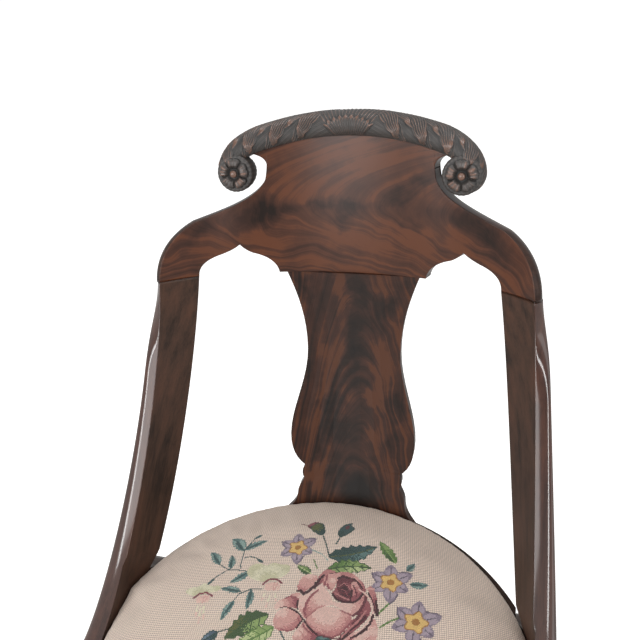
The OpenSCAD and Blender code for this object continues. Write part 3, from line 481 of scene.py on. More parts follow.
for node, material in finishes.items():
    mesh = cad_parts[node].data
    mesh.materials.clear()
    mesh.materials.append(material)
print(len(finishes), "CAD nodes dressed of", len(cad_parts))

# %% [markdown]
# ## Softened edges
# Every edge of an old chair is rubbed round by hands and polishing cloths, and those
# edges catch the light. The CAD meshes are left as they are. Modifiers weld their split
# corners, round the edges by about a millimetre and keep the flats flat in shading.


# %% Edge modifiers
def soften(node, radius_mm=1.0, edge_angle=32):
    """Rounds the edges of a CAD node that are sharper than the angle."""
    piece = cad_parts[node]
    piece.data.shade_smooth()
    weld = piece.modifiers.new("weld", "WELD")
    weld.merge_threshold = 0.02 * MM
    bevel = piece.modifiers.new("rubbed_edges", "BEVEL")
    bevel.width = radius_mm * MM
    bevel.segments = 3
    bevel.limit_method = "ANGLE"
    bevel.angle_limit = math.radians(edge_angle)
    flats = piece.modifiers.new("flat_faces", "WEIGHTED_NORMAL")
    flats.keep_sharp = True


for node in ("splat_core", "front_rail", "rear_rail",
             "front_leg_left", "front_leg_right", "rear_leg_left", "rear_leg_right"):
    soften(node)
print("edges softened")

# %% [markdown]
# ## The carved roll on the crest
# The top of the back is a thick roll that ends in two scrolls, carved all over with
# acanthus leaves. A carver first shapes the plain roll and then cuts the leaves into it.
# The same order works here: rings of points make the plain roll from the drawing's
# sizes, and a height in millimetres, leaf by leaf, pushes each point out. The height,
# taken against its neighbours' mean, is also kept as an attribute: the hollows are
# darkened with it as painted shade, and the high spots are worn.

# %% The drawing's sizes and the curve of the back
tablet_y, tablet_z, rake = 233.08, 677.0, math.radians(15)
mid_r, mid_half, end_r = 326.0, 90.0, 220.0
roll_axis, arch_r, roll_a, roll_b, roll_out, roll_flat = 161.5, 325.0, 15.5, 19.0, 10.0, 5.0
neck_half = 92.0
scroll_x, scroll_u, scroll_r, sweep_out = 120.5, 114.5, 20.0, 1.5
mid_turn = math.asin(mid_half / mid_r)
end_x = mid_half - end_r * math.sin(mid_turn)
end_y = mid_r * (1 - math.cos(mid_turn)) + end_r * math.cos(mid_turn)


def plan_depth(x):
    """How far the back's face curves forward at x, in plan: a flat arc, then a tighter one."""
    x = np.abs(x)
    middle = mid_r - np.sqrt(np.maximum(mid_r**2 - x**2, 0))
    end = end_y - np.sqrt(np.maximum(end_r**2 - (x - end_x) ** 2, 0))
    return np.where(x <= mid_half, middle, end)


def on_back(points):
    """From the crest's own leaning frame to the chair's, in metres."""
    x, y, u = points[..., 0], points[..., 1], points[..., 2]
    c, s = math.cos(rake), math.sin(rake)
    return np.stack([x, tablet_y + y * c + u * s, tablet_z - y * s + u * c], -1) * MM


def curve(ends, t):
    """The place at t, 0 to 1, on the curve of four control points."""
    a, b, c, d = (np.array(end, float) for end in ends)
    return a * (1 - t) ** 3 + 3 * b * t * (1 - t) ** 2 + 3 * c * t**2 * (1 - t) + d * t**3


def cubic(ends, count):
    """Points along the curve, without its first."""
    return curve(ends, (np.arange(1, count + 1) / count)[:, None])


print("depth of the back's curve at its ends:", round(float(plan_depth(197.0)), 1), "mm")

# %% Edges of the plain roll, from the middle outwards
arch_steps, curl_steps, tail_steps = 190, 88, 42
arch_angle = math.asin(neck_half / arch_r)
arch_turn = np.linspace(0, arch_angle, arch_steps + 1)[:, None]
arch_dir = np.hstack([np.sin(arch_turn), np.cos(arch_turn)])
arch_centre = np.array([0, roll_axis - arch_r])
scroll_c = np.array([scroll_x, scroll_u])
leave = np.array([math.cos(arch_angle), -math.sin(arch_angle)])
t = np.arange(1, tail_steps + 1)[:, None] / tail_steps
tail_turn = math.radians(100) * t
tail_dir = np.hstack([np.cos(tail_turn), -np.sin(tail_turn)])
outer_arch = arch_centre + (arch_r + roll_a) * arch_dir
inner_arch = arch_centre + (arch_r - roll_a + roll_flat) * arch_dir
wide = scroll_r + sweep_out
core = scroll_r * 0.2
outer_edge = np.vstack([
    outer_arch,
    cubic([outer_arch[-1], outer_arch[-1] + leave * scroll_r * 1.1,
           scroll_c + [wide, scroll_r * 1.3], scroll_c + [wide, 0]], curl_steps),
    scroll_c + (scroll_r + sweep_out * (1 - t) - scroll_r * 0.25 * t**2) * tail_dir,
])
inner_edge = np.vstack([
    inner_arch,
    cubic([inner_arch[-1], inner_arch[-1] + leave * scroll_r * 0.8,
           scroll_c + [core, scroll_r * 0.6], scroll_c + [core, 0]], curl_steps),
    scroll_c + core * tail_dir,
])
middle = (outer_edge + inner_edge) / 2
steps = np.diff(middle * 0.35 + outer_edge * 0.65, axis=0)
run = np.concatenate([[0], np.cumsum(np.linalg.norm(steps, axis=1))])
print("half of the roll is", round(float(run[-1])), "mm long")

# %% [markdown]
# ### Crest board, veneer and stiles
# The crest is a curved board faced with 0.9 mm veneer. Each stile is sawn from one plank:
# its face starts in line with the crest and turns until it stands upright as the side
# rail, and its outer side is rounded like a bar. The CAD has both as coarse skins. The
# same curves are walked here in small steps, with edges rubbed to under a millimetre,
# because polish shows every facet as a band of light.


# %% Crest board and veneer
joint_u, joint_half, joint_t, board_t, veneer_t = 2.9, 197.0, 15.0, 17.5, 0.9
neck_x, neck_low, flare_x, inner_x = 90.5, 118.0, 104.0, 164.0
glue = 0.15
under_roll = arch_r - roll_a + roll_flat - glue


def arch_u(x):
    """Height of the roll's underside at x."""
    return roll_axis - arch_r + np.sqrt(under_roll**2 - np.square(x))


def closed_skin(name, rings):
    """A closed mesh over an array of equal rings: ring, point, xyz in metres."""
    piece = make_mesh(name, rings.reshape(-1, 3), ring_faces(*rings.shape[:2]))
    piece.modifiers.new("flat_faces", "WEIGHTED_NORMAL")
    return piece


def bend(points, off):
    """Bend flat points (across, up) to the back's plan, a distance behind its face."""
    x = points[:, 0]
    flat_x = np.abs(x)
    sine = np.where(flat_x <= mid_half, flat_x / mid_r, (flat_x - end_x) / end_r)
    turn = 0.8 * np.arcsin(np.clip(sine, 0, 1))
    thin = off * (1 - (1 - joint_t / board_t) * (flat_x / joint_half) ** 4)
    bent_x = np.sign(x) * (flat_x + thin * np.sin(turn))
    return np.stack([bent_x, -plan_depth(x) + thin * np.cos(turn), points[:, 1]], -1)


def board_rings(low, high, offs, insets, round_high, across=14):
    """Rings from the lower edge up the face, over the upper edge and down the back."""
    reach = high - low
    reach /= np.maximum(np.linalg.norm(reach, axis=1), 1e-6)[:, None]
    far_out = np.clip(np.abs(high[:, :1]) / neck_half - 1, 0, 1)
    levels = []
    for off, inset in zip(offs, insets):
        depth = off / board_t
        shrink = far_out * (3 - 3 * math.sqrt(1 - min(1, depth) ** 2) - 1.5 * math.sin(math.pi * depth))
        levels.append((low + reach * inset, high - reach * (inset * round_high[:, None] + shrink), off))
    share = np.linspace(0, 1, across)
    points = [bend(levels[0][0] * (1 - f) + levels[0][1] * f, offs[0]) for f in share]
    points += [bend(up, off) for _, up, off in levels[1:-1]]
    points += [bend(levels[-1][0] * f + levels[-1][1] * (1 - f), offs[-1]) for f in share]
    points += [bend(down, off) for down, _, off in levels[-2:0:-1]]
    return on_back(np.stack(points, 1))


flat = np.linspace(0, 83, 37)
lower = np.vstack([
    np.column_stack([flat, 0 * flat]),
    cubic([(83, 0), (85, 13), (98, 20), (110, 23.5)], 36),
    cubic([(110, 23.5), (115.5, 26), (120.5, 30), (123.5, 34)], 24),
    cubic([(123.5, 34), (129.5, 29), (135.5, 27), (140.5, 25)], 24),
    cubic([(140.5, 25), (155, 21), (inner_x, 15), (inner_x, joint_u)], 42),
])
top = np.linspace(0, neck_x, 43)
seam = np.linspace(arch_u(neck_x), neck_low, 31)[1:]
upper = np.vstack([
    np.column_stack([top, arch_u(top)]),
    np.column_stack([neck_x + 0 * seam, seam]),
    cubic([(neck_x, neck_low), (neck_x, 89), (129, 76), (164, 63.9)], 48),
    cubic([(164, 63.9), (181.5, 53.3), (195.7, 36), (joint_half, joint_u)], 42),
])
neck = [(neck_x, neck_low), (neck_x, 127), (96, 130), (flare_x, arch_u(flare_x) - 0.3)]
flare_low = np.vstack([neck[:1], cubic(neck, 14)])
flare_high = np.column_stack([flare_low[:, 0], arch_u(flare_low[:, 0])])
under_roll_count = len(top) + len(seam)
top_rounded = np.repeat([0.0, 1.0], [under_roll_count, len(upper) - under_roll_count])


def crest_piece(name, offs, insets):
    """The crest's skin from end to end, with a flare joined on at each side of its neck."""
    edges = [np.vstack([edge[:0:-1] * (-1, 1), edge]) for edge in (lower, upper)]
    round_high = np.concatenate([top_rounded[:0:-1], top_rounded])
    main = closed_skin(name, board_rings(*edges, offs, insets, round_high))
    for side in (-1, 1):
        low, high = ((edge * (side, 1))[::side] for edge in (flare_low, flare_high))
        ear = closed_skin(name + "_ear", board_rings(low, high, offs, insets, np.zeros(len(low)), 6))
        ear.modifiers.clear()
        with bpy.context.temp_override(active_object=main, selected_editable_objects=[main, ear]):
            bpy.ops.object.join()
    return main


offs = np.array([0, 0.12, 0.3, 0.55, veneer_t])
crest_face = crest_piece("crest_flame_veneer", offs, veneer_t - np.sqrt(veneer_t**2 - (veneer_t - offs) ** 2))
offs = np.array([veneer_t, 2, 3, 4.5, 6, 7.5, 9, 10.5, 12, 14.5, 16.3, 17.1, 17.5])
crest_board = crest_piece("crest_curved_board", offs, np.array([0] * 11 + [0.25, 0.8]))
print("crest:", len(crest_face.data.vertices) + len(crest_board.data.vertices), "points")

# %% Stiles
side_x, side_t, rail_z, under_z, back_h = 217.0, 24.0, 413.0, 358.0, 264.0
ring_y, well_r, shelf_z, rail_front = -97.92, 227.5, 382.1, -255.77
top_u, rail_start = 2.85, ring_y - 20


def face_point(x, u):
    """A place on the back's face, in mm in the chair's frame."""
    return on_back(np.array([x, -float(plan_depth(x)), u])) / MM


def ease(t):
    """From 0 to 1 with a soft start and a soft end."""
    t = np.clip(t, 0, 1)
    return t * t * (3 - 2 * t)


def stile_mesh(name, side, steps=130, face_count=16):
    """One plank: two edge curves carry a section that widens and turns as it goes down."""
    lean = np.array([0, -math.sin(rake), -math.cos(rake)])
    arris_0, inner_0 = face_point(joint_half, top_u), face_point(inner_x, top_u)
    out_turn = 0.8 * math.asin((joint_half - end_x) / end_r)
    out_0 = np.array([math.sin(out_turn), math.cos(out_turn) * math.cos(rake),
                      -math.cos(out_turn) * math.sin(rake)])
    arris = [arris_0, arris_0 + lean * back_h * 0.435 + [(side_x - joint_half) * 0.5, 0, 0],
             (side_x, rail_start + back_h * 0.337, rail_z), (side_x, rail_start, rail_z)]
    inner = [inner_0, inner_0 + lean * back_h * 0.53 + [(side_x - inner_x) * 0.34, 0, 0],
             (side_x - side_t * 0.67, rail_start + back_h * 0.39, under_z), (side_x, rail_start, under_z)]
    rings = []
    for i in range(steps + 1):
        t = i / steps
        a, b = curve(arris, t), curve(inner, t)
        width = np.linalg.norm(b - a)
        across = (b - a) / width
        turned, share = ease(t * 4), ease(t * 1.25)
        out = out_0 * (1 - turned) + np.array([1.0, 0, 0]) * turned
        out /= np.linalg.norm(out)
        thick = joint_t + (side_t - joint_t) * share
        round_w = 3 + 6 * share
        section = [(0.9, 0), (0.45, 0.06), (0.15, 0.25), (0.03, 0.6)]
        section += [(round_w * (1 - math.cos(f)) - (0.9 + 0.9 * share) * math.sin(2 * f), thick * math.sin(f))
                    for f in np.radians(np.linspace(5, 90, 18))]
        section += [(width - 3, thick), (width - 0.9, thick - 0.9), (width, thick - 3),
                    (width, 0.8), (width - 0.25, 0.2), (width - 0.9, 0)]
        section += [(width - 0.9 + (1.8 - width) * f, 2.5 * f * (1 - f) * (1 - turned))
                    for f in np.linspace(0, 1, face_count + 2)[1:-1]]
        rings.append([a + across * p + out * q for p, q in section])
    rings = np.array(rings)
    for y in np.linspace(rail_start, rail_front, 12)[1:]:
        rings = np.concatenate([rings, [rings[-1] * (1, 0, 1) + (0, y, 0)]])
    reach = well_r**2 - (rings[..., 1] - ring_y) ** 2
    wall = np.minimum(side_x, np.sqrt(np.maximum(reach, 0)))
    inside = (rings[..., 2] > shelf_z) & (reach > 0) & (rings[..., 0] < wall)
    rings[..., 0] = np.where(inside, wall, rings[..., 0])
    rings = rings * (side, 1, 1) * MM
    piece = closed_skin(name, rings if side < 0 else rings[:, ::-1])
    around = rings.shape[1]
    face_from = len(section) - face_count - 1
    for polygon in piece.data.polygons[:-2]:
        j = polygon.index % around
        j = j if side < 0 else around - 2 - j
        polygon.material_index = 0 if j >= face_from or j < 1 else 1
    return piece


stiles = {hand: stile_mesh("swept_stile_" + hand, side) for hand, side in (("left", -1), ("right", 1))}
print("stiles:", [len(piece.data.vertices) for piece in stiles.values()], "points")

# %% Finish the crest and stiles
crest_face.data.materials.append(crest_flame)
crest_board.data.materials.append(board_mahogany)
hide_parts("crest_veneer")
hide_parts("crest_board")
for hand_name, piece in stiles.items():
    piece.data.materials.append(stile_mahogany)
    piece.data.materials.append(rounded_mahogany)
    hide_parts("stile_" + hand_name)
for piece in (crest_face, crest_board, *stiles.values()):
    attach(piece, "chair_frame")

# %% [markdown]
# ### Acanthus leaves
# A palmette sits in the middle, and five groups of four leaves run from it to each
# scroll. Most leaves start high on the roll, sweep out and down, and turn over at the
# lower front edge. A leaf has gouge cuts that run from its base to its tip, a raised tip
# and a lobed rim. Leaves overlap like tiles. A leaf is described flat, by how far along
# it and how far across it a point lies, and the highest leaf wins.


# %% Leaf heights
def ridges(phase):
    """Rows of rounded gouge cuts: sharp crests at whole numbers, hollows between."""
    return 1 - 2 * np.abs(np.sin(np.pi * phase))


def leaf_height(s, g, base, tip, width, lobes, sag, ribs):
    """Height of one leaf in mm at points s along the roll and g round it."""
    axis = np.array(tip, float) - base
    length = np.linalg.norm(axis)
    axis /= length
    ds, dg = s - base[0], g - base[1]
    t = (ds * axis[0] + dg * axis[1]) / length
    w = -ds * axis[1] + dg * axis[0] - sag * np.sin(np.pi * np.clip(t, 0, 1))
    env = np.sin(np.pi * np.clip(t, 0.0, 1) ** 0.8) ** 0.6
    scallop = 0.80 + 0.20 * np.abs(np.sin(np.pi * lobes * t + 0.5 * np.sign(w)))
    half = np.maximum(width * env * scallop, 1e-3)
    across = np.abs(w) / half
    inside = (t > 0) & (t < 1) & (across < 1)
    body = 0.8 + 0.6 * np.sqrt(np.clip(1 - across**2, 0, 1)) + 1.2 * t**2
    opening = np.clip(t * 5, 0, 1)
    gouges = 0.85 * ridges(ribs * w / half * 0.5 + 0.35 * np.sin(np.pi * t * lobes)) * opening
    crest = 0.3 * np.exp(-(((across - 0.86) / 0.12) ** 2)) * t + 1.2 * np.exp(-(((t - 0.86) / 0.07) ** 2))
    rim = np.clip((half - np.abs(w)) / 0.9, 0, 1) * np.clip((1 - t) * length / 1.6, 0, 1) * opening
    return np.where(inside, (body + gouges + crest) * rim, 0)


def fan_height(s, g):
    """The palmette in the middle: fingers that turn over half way up, with long rays above."""
    foot = 44
    ray, out = np.arctan2(s, g + foot), np.hypot(s, g + foot)
    finger = np.abs(np.sin(np.pi * 7 * ray))
    low = np.clip((out - 12) / 30, 0, 1) ** 1.8 * np.clip((43 + 4 * finger - out) / 1.6, 0, 1)
    high = np.clip((out - 40) / 8, 0, 1) * (0.75 + 0.25 * np.cos(out / 6.0))
    cuts = 0.55 * ridges(ray * 14) * np.clip(out / 24, 0.3, 1) + 0.2 * ridges(ray * 28)
    inside = np.clip((0.66 - np.abs(ray)) / 0.05, 0, 1)
    return (1.0 + 2.0 * low + 0.9 * high + cuts) * inside


middle_turn, quarter_mm = 35, 26
first_group, group_pitch, group_count = 16, 30.5, 5
leaf_group = [  # share of the height, base, tip, width, lobes, sag and number of ribs
    (0.70, (16, 14), (50, -33), 9, 4, 3, 5),
    (0.78, (-4, 26), (62, 37), 11, 6, -5, 6),
    (0.92, (-12, 36), (41, -21), 12.5, 6, 7, 7),
    (0.84, (2, 27), (53, -5), 6.5, 4, 5, 4),
]


def carving(s, turn):
    """Relief in millimetres at a distance along the roll and a turn round it, 0 in front."""
    g = (turn - middle_turn) / 90 * quarter_mm
    flow = g + 0.62 * s + 1.3 * np.sin(s / 9.0)
    relief = 0.75 + 0.34 * ridges(flow / 2.1) + 0.14 * ridges(flow / 5.1 + 0.2)
    for start in first_group + group_pitch * np.arange(group_count):
        for share, base, tip, *form in leaf_group:
            ends = (start + base[0], base[1]), (start + tip[0], tip[1])
            relief = np.maximum(relief, share * leaf_height(s, g, *ends, *form))
    return np.maximum(relief, 0.92 * fan_height(s, g))


# %% Skin of the roll
round_count = 180
turns = np.arange(round_count) * 360 / round_count
last = len(run) - 1
indices = np.arange(-last, last + 1)
k = np.abs(indices)
hand = np.where(indices < 0, -1.0, 1.0)[:, None]
over = (np.maximum(0, k - arch_steps) / (curl_steps + tail_steps))[:, None]
half = (np.linalg.norm(outer_edge - inner_edge, axis=1) / 2)[k][:, None]
out_dir = (outer_edge - inner_edge)[k] / (2 * half)
depth_half = roll_b * (1 - 0.3 * over**2)
depth_mid = depth_half - roll_out + over - plan_depth(np.minimum(middle[k][:, 0], scroll_x))[:, None]
signed_turn = (turns[None, :] + 180) % 360 - 180
front_share = np.clip(1.15 - np.abs(signed_turn - 30) / 150, 0.25, 1)
relief = carving(run[k][:, None] + 0 * turns, np.broadcast_to(signed_turn, (len(k), round_count)))
mean_relief, relief_share = 1.6, 0.85
relief = (relief - mean_relief) * front_share * relief_share
rise = (half + roll_flat / 2 + relief) * np.sin(np.radians(turns)) - roll_flat / 2 * (1 - over)
rise = np.maximum(rise, -half)
back = depth_mid - (depth_half + relief) * np.cos(np.radians(turns))
x = hand * (middle[k][:, :1] + rise * out_dir[:, :1])
u = middle[k][:, 1:] + rise * out_dir[:, 1:]
skin = on_back(np.stack([x, back, u], -1))
faces = [face[:1] + face[:0:-1] for face in ring_faces(len(k), round_count)]
carved_roll = make_mesh("carved_roll", skin.reshape(-1, 3), faces)
# low against its neighbours is painted dark later as shade in the hollows, high as worn brown
nearby = sum(np.roll(relief, (i, j), (0, 1)) for i in (-5, 0, 5) for j in (-4, 0, 4)) / 9
carved = np.clip(0.42 + 0.55 * (relief - nearby) + 0.10 * relief, 0, 1)
height = carved_roll.data.attributes.new("carved", "FLOAT", "POINT")
height.data.foreach_set("value", carved.astype(np.float32).ravel())
print(f"carved roll: {skin.size // 3} points, relief {relief.min():.1f} to {relief.max():.1f} mm")

# %% [markdown]
# ### Scroll ends and rosettes
# The roll's ends curl round turned bosses, and a rosette is pinned on each. A rosette
# has five cleft petals that cup round a button, cut with a few gouge strokes. A disc of
# rings and spokes with a height for each point gives that form in one go.


# %% Scroll bosses and rosettes
def turned_disc(name, radii, heights_at, spokes, centre, side):
    """A closed shell on the crest's face: rings outwards to inwards, height towards the front."""
    a = np.arange(spokes) * 2 * np.pi / spokes
    rings, cut = [], []
    for r in radii:
        radius, height, painted_shade_and_wear = heights_at(r, a)
        x, u = side * (centre[0] + radius * np.cos(a)), centre[2] + radius * np.sin(a)
        rings.append(np.stack([x, centre[1] - height, u], -1))
        # the third value darkens low places as painted shade and lightens high ones as worn spots
        cut.append(painted_shade_and_wear + 0 * a)
    faces = [face[::side] for face in ring_faces(len(radii), spokes)]
    piece = make_mesh(name, on_back(np.concatenate(rings)), faces)
    height = piece.data.attributes.new("carved", "FLOAT", "POINT")
    height.data.foreach_set("value", np.concatenate(cut).astype(np.float32))
    return piece


rosette_r, petals, button, rim_height = 16.5, 5, 0.25, 1.6


def rosette_form(r, a):
    """r runs from 0 at the base of the rim to 1 at the rim's top and 2 at the middle."""
    pitch = 2 * np.pi / petals
    local = ((a - np.pi / 2 + pitch / 2) % pitch - pitch / 2) / (pitch / 2)
    gap = np.abs(local)
    cleft = np.exp(-((local / 0.13) ** 2))
    rim = 1 - 0.16 * gap**5 - 0.05 * cleft
    if r <= 1:
        return rosette_r * rim, r * rim_height * (1 - 0.5 * gap**4), 0.15 + 0 * a
    q = 2 - r
    if q < button:
        dome = np.sqrt(max(0.0, 1 - (q / button) ** 2))
        return rosette_r * (q + 0.004) + 0 * a, rim_height + 3.4 * dome + 0 * a, 0.40 + 0.5 * dome
    p = (q - button) / (1 - button)
    rise = min(1.0, max(0.0, (p - 0.04) / 0.42))
    swell = rise * rise * (3 - 2 * rise) * (1 - 0.5 * max(0.0, (p - 0.68) / 0.32) ** 2)
    lobe = (1 - 0.8 * gap**6) * (1 - 0.12 * cleft * p) * (1 + 0.16 * np.sin(2 * a + 0.8))
    gouge = 0.4 * ridges(local * 2.0 + 0.25 * np.sin(a * 2 + 1)) * p
    height = 0.3 + 4.7 * swell * lobe + gouge * lobe
    mix = min(1.0, p * 2)
    return rosette_r * q * (1 + (rim - 1) * mix), height, 0.02 + 0.66 * swell * lobe + 0.35 * gouge


boss_front = -float(plan_depth(scroll_x)) - roll_out
boss_depth = 2 * roll_b - roll_out + roll_out * 0.6
side_depth, edge_r = 7, 3


def boss_form(r, a):
    """A turned boss: r runs from 0 at the back to 6 at the side, then over its round edge."""
    groove = 0.35 * np.cos(a * 26)
    if r < 6:
        turn = math.radians(15 * (6 - r))
        radius = scroll_r * (0.35 + 0.65 * math.cos(turn))
        back = side_depth + (boss_depth - side_depth) * math.sin(turn)
        return radius + groove * 0.6, -back + 0 * a, 0.3 + groove * 0.4
    turn = math.radians(22.5 * (r - 6))
    radius, back = scroll_r - edge_r + edge_r * math.cos(turn), edge_r - edge_r * math.sin(turn)
    return radius + groove * 0.5, -back + 0 * a, 0.35 + groove * 0.4


rosettes, bosses = {}, {}
for hand_name, side in (("left", -1), ("right", 1)):
    centre = (scroll_x, boss_front - glue, scroll_u)
    levels = [0, 0.5, *np.linspace(1, 2, 44)]
    rosettes[hand_name] = turned_disc("carved_rosette_" + hand_name, levels, rosette_form, 200, centre, side)
    centre = (scroll_x, boss_front, scroll_u)
    levels = np.linspace(0.2, 10, 36)
    bosses[hand_name] = turned_disc("scroll_boss_" + hand_name, levels, boss_form, 120, centre, side)
print("rosettes and bosses at x", scroll_x, "u", scroll_u)

# %% [markdown]
# ### Carved and waxed mahogany
# Two centuries of wax and dust sit in the hollows, and hands have rubbed the leaf tips
# to a bright brown. The stored height drives both: dark and dull when low, brown and
# polished when high. The dark in the hollows is painted shade as well as wax and dust.
# Noise 11 mm across makes the worn and the shaded parts patchy, and noise of 1.4 mm
# stands for pores that are too fine to show.

# %% Carved mahogany material
carved_mahogany, tree, shader = start_material("carved_waxed_mahogany")
height = add(tree, "ShaderNodeAttribute", attribute_name="carved")
place = add(tree, "ShaderNodeTexCoord")
patches = add(tree, "ShaderNodeTexNoise", {"Vector": place.outputs["Object"], "Scale": 90.0, "Detail": 3.0})
hollow_shade_and_wear_tone = add(tree, "ShaderNodeMath", {0: patches.outputs["Fac"], 1: 0.5, 2: height.outputs["Fac"]},
           operation="MULTIPLY_ADD")
# the ramp's near-black low end is painted shade in the hollows, its brown top end worn high spots
colour = add(tree, "ShaderNodeValToRGB", {"Fac": hollow_shade_and_wear_tone.outputs[0]},
             stops=[(0.34, "#0f0c0a"), (0.62, "#2a2522"), (0.86, "#372d28"), (1.0, "#65483a")])
gloss = add(tree, "ShaderNodeMapRange", {"Value": height.outputs["Fac"], 1: 0.3, 2: 0.9, 3: 0.6, 4: 0.24})
pores = add(tree, "ShaderNodeTexNoise", {"Vector": place.outputs["Object"], "Scale": 700.0, "Detail": 2.0})
relief_bump = add(tree, "ShaderNodeBump",
                  {"Strength": 0.2, "Distance": 0.3 * MM, "Height": pores.outputs["Fac"]})
fill(shader, {"Base Color": colour.outputs[0], "Roughness": gloss.outputs[0], "IOR": 1.5,
              "Specular IOR Level": 0.7, "Normal": relief_bump.outputs[0]})
for piece in (carved_roll, *rosettes.values(), *bosses.values()):
    piece.data.materials.append(carved_mahogany)
    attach(piece, "chair_frame")
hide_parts("crest_roll")
for hand_name, piece in rosettes.items():
    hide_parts("rosette_" + hand_name)
print("carved pieces finished")

# %% [markdown]
# ## The stuffed slip seat
# The seat is a frame that drops in between the rails, webbed, stuffed with horsehair
# and covered with wool needlepoint drawn tight over the edges. Stuffing swells against
# its cover, so the crown is made by cloth simulation: a form with a slightly lower crown
# than the finished seat's is blown up by pressure, and how far a point may move is
# capped. Below the frame's top, where the cover is tacked, the form is held still.

# %% The seat's outline and the form before stuffing
front_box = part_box("seat_frame_front")
rear_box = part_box("seat_frame_rear")
seat_top = front_box[1].z / MM
seat_under = front_box[0].z / MM
seat_front = front_box[0].y / MM
seat_half = front_box[1].x / MM
seat_rear = rear_box[1].y / MM
seat_rear_r, seat_corner, cover_t, hem = 221.4, 22.0, 1.6, 18.0
bulge, crown, side_height = 5.5, 45.0, 9.0
ring_y = seat_rear - seat_rear_r
seat_mid = (seat_rear + seat_front) / 2


def seat_outline(grow, rear_count=48, corner_count=10):
    """The frame's outline, larger by grow: a bowed rear edge and two round front corners."""
    r, x, c = seat_rear_r + grow, seat_half + grow, seat_corner + grow
    a0 = math.acos(x / r)
    points = [(r * math.cos(a), ring_y + r * math.sin(a)) for a in np.linspace(a0, math.pi - a0, rear_count)]
    for side, from_a in ((-1, math.pi), (1, 1.5 * math.pi)):
        points += [(c * math.cos(a) + side * (x - c), seat_front - grow + c + c * math.sin(a))
                   for a in np.linspace(from_a, from_a + math.pi / 2, corner_count)]
    return np.array(points)


def seat_ring(grow, inward, z):
    """The outline at a height, drawn inward by a share of the way to the middle."""
    flat = seat_outline(grow)
    centre = np.array([0, seat_mid])
    return np.column_stack([centre + (flat - centre) * (1 - inward), np.full(len(flat), z)])


def crown_z(inward):
    """Height of the finished crown, an ellipse over the share of the way to the middle."""
    return seat_top + side_height + (crown - side_height) * math.sqrt(1 - (1 - inward) ** 2)


def seat_form(off):
    """Rings from the hem under the frame to the middle of the crown, which is lower by off."""
    under, wide = seat_under - cover_t, cover_t + bulge
    sides = [(-hem, under), (cover_t - 2, under), (cover_t, under + 2), (cover_t, seat_top - 2),
             (cover_t + bulge * 0.8, seat_top + side_height * 0.65), (wide, seat_top + side_height)]
    inwards = (0.012, 0.05, 0.11, 0.2, 0.31, 0.45, 0.62, 0.8, 0.96)
    side_rings = [seat_ring(grow, 0, z) for grow, z in sides]
    return side_rings + [seat_ring(wide, q, crown_z(q) - off) for q in inwards]


def ring_skin(name, rings):
    """A closed mesh over rings in millimetres."""
    return make_mesh(name, np.concatenate(rings) * MM, ring_faces(len(rings), len(rings[0])))


print(f"seat: {2 * seat_half:.0f} x {seat_rear - seat_front:.0f} mm, its frame's top at {seat_top:.1f}")


# %% Stuff the seat
held_below = seat_top + 2
voxel_mm, cap_mm, pressure, frame_count = 5, 4.0, 4, 20
lower_crown = 3.0


def stuff(form):
    """Blows the form up by cloth simulation, caps how far it moved, and says how far it would."""
    bpy.context.view_layer.objects.active = form
    remesh = form.modifiers.new("remesh", "REMESH")
    remesh.mode = "VOXEL"
    remesh.voxel_size = voxel_mm * MM
    bpy.ops.object.modifier_apply(modifier=remesh.name)
    rest = np.array([v.co for v in form.data.vertices])
    cloth = form.modifiers.new("stuffing", "CLOTH")
    cloth.settings.use_pressure = True
    cloth.settings.uniform_pressure_force = pressure
    cloth.settings.effector_weights.gravity = 0
    tacked = form.vertex_groups.new(name="tacked")
    tacked.add([i for i, co in enumerate(rest) if co[2] < held_below * MM], 1.0, "REPLACE")
    cloth.settings.vertex_group_mass = tacked.name
    cloth.point_cache.frame_start, cloth.point_cache.frame_end = 1, frame_count
    scene = bpy.context.scene
    for step in range(frame_count):
        scene.frame_set(step + 1)
    swollen = form.evaluated_get(bpy.context.evaluated_depsgraph_get()).to_mesh()
    moved = np.array([v.co for v in swollen.vertices]) - rest
    form.modifiers.remove(cloth)
    scene.frame_set(1)
    far = np.linalg.norm(moved, axis=1, keepdims=True)
    capped = moved * np.minimum(1, cap_mm * MM / np.maximum(far, 1e-9))
    outward = rest - np.array([0, seat_mid * MM, rest[:, 2].mean()])
    outward[:, 2] = 0
    outward /= np.maximum(np.linalg.norm(outward, axis=1, keepdims=True), 1e-9)
    drawn_in = np.minimum(0, (capped * outward).sum(1, keepdims=True))
    final = rest + capped - drawn_in * outward
    form.data.vertices.foreach_set("co", final.ravel())
    form.data.update()
    return float(far.max() / MM)


def skin_tree(form):
    """The form's faces, ready for finding where a ray meets them."""
    return BVHTree.FromPolygons([v.co for v in form.data.vertices],
                                [p.vertices[:] for p in form.data.polygons])


tacked_form = ring_skin("tacked_form", seat_form(0.0))
tacked_tree = skin_tree(tacked_form)
bpy.data.objects.remove(tacked_form)
cushion_form = ring_skin("cushion_form", seat_form(lower_crown))
print("the stuffing pushed up to", round(stuff(cushion_form), 1), "mm, capped at", cap_mm)
print("cushion form:", len(cushion_form.data.vertices), "points")

# %% [markdown]
# ## The needlepoint canvas
# The cover is one piece of canvas with a wool stitch in every hole: about eleven to
# the inch on the plain ground, and half that size in the flowers. It is pulled over
# the stuffing and tacked under the frame. So the mesh is a flat grid with one face a
# stitch, laid over the stuffed form by walking outwards from the crown along the
# surface, as cloth does. The rows run a little askew, as on the real seat.

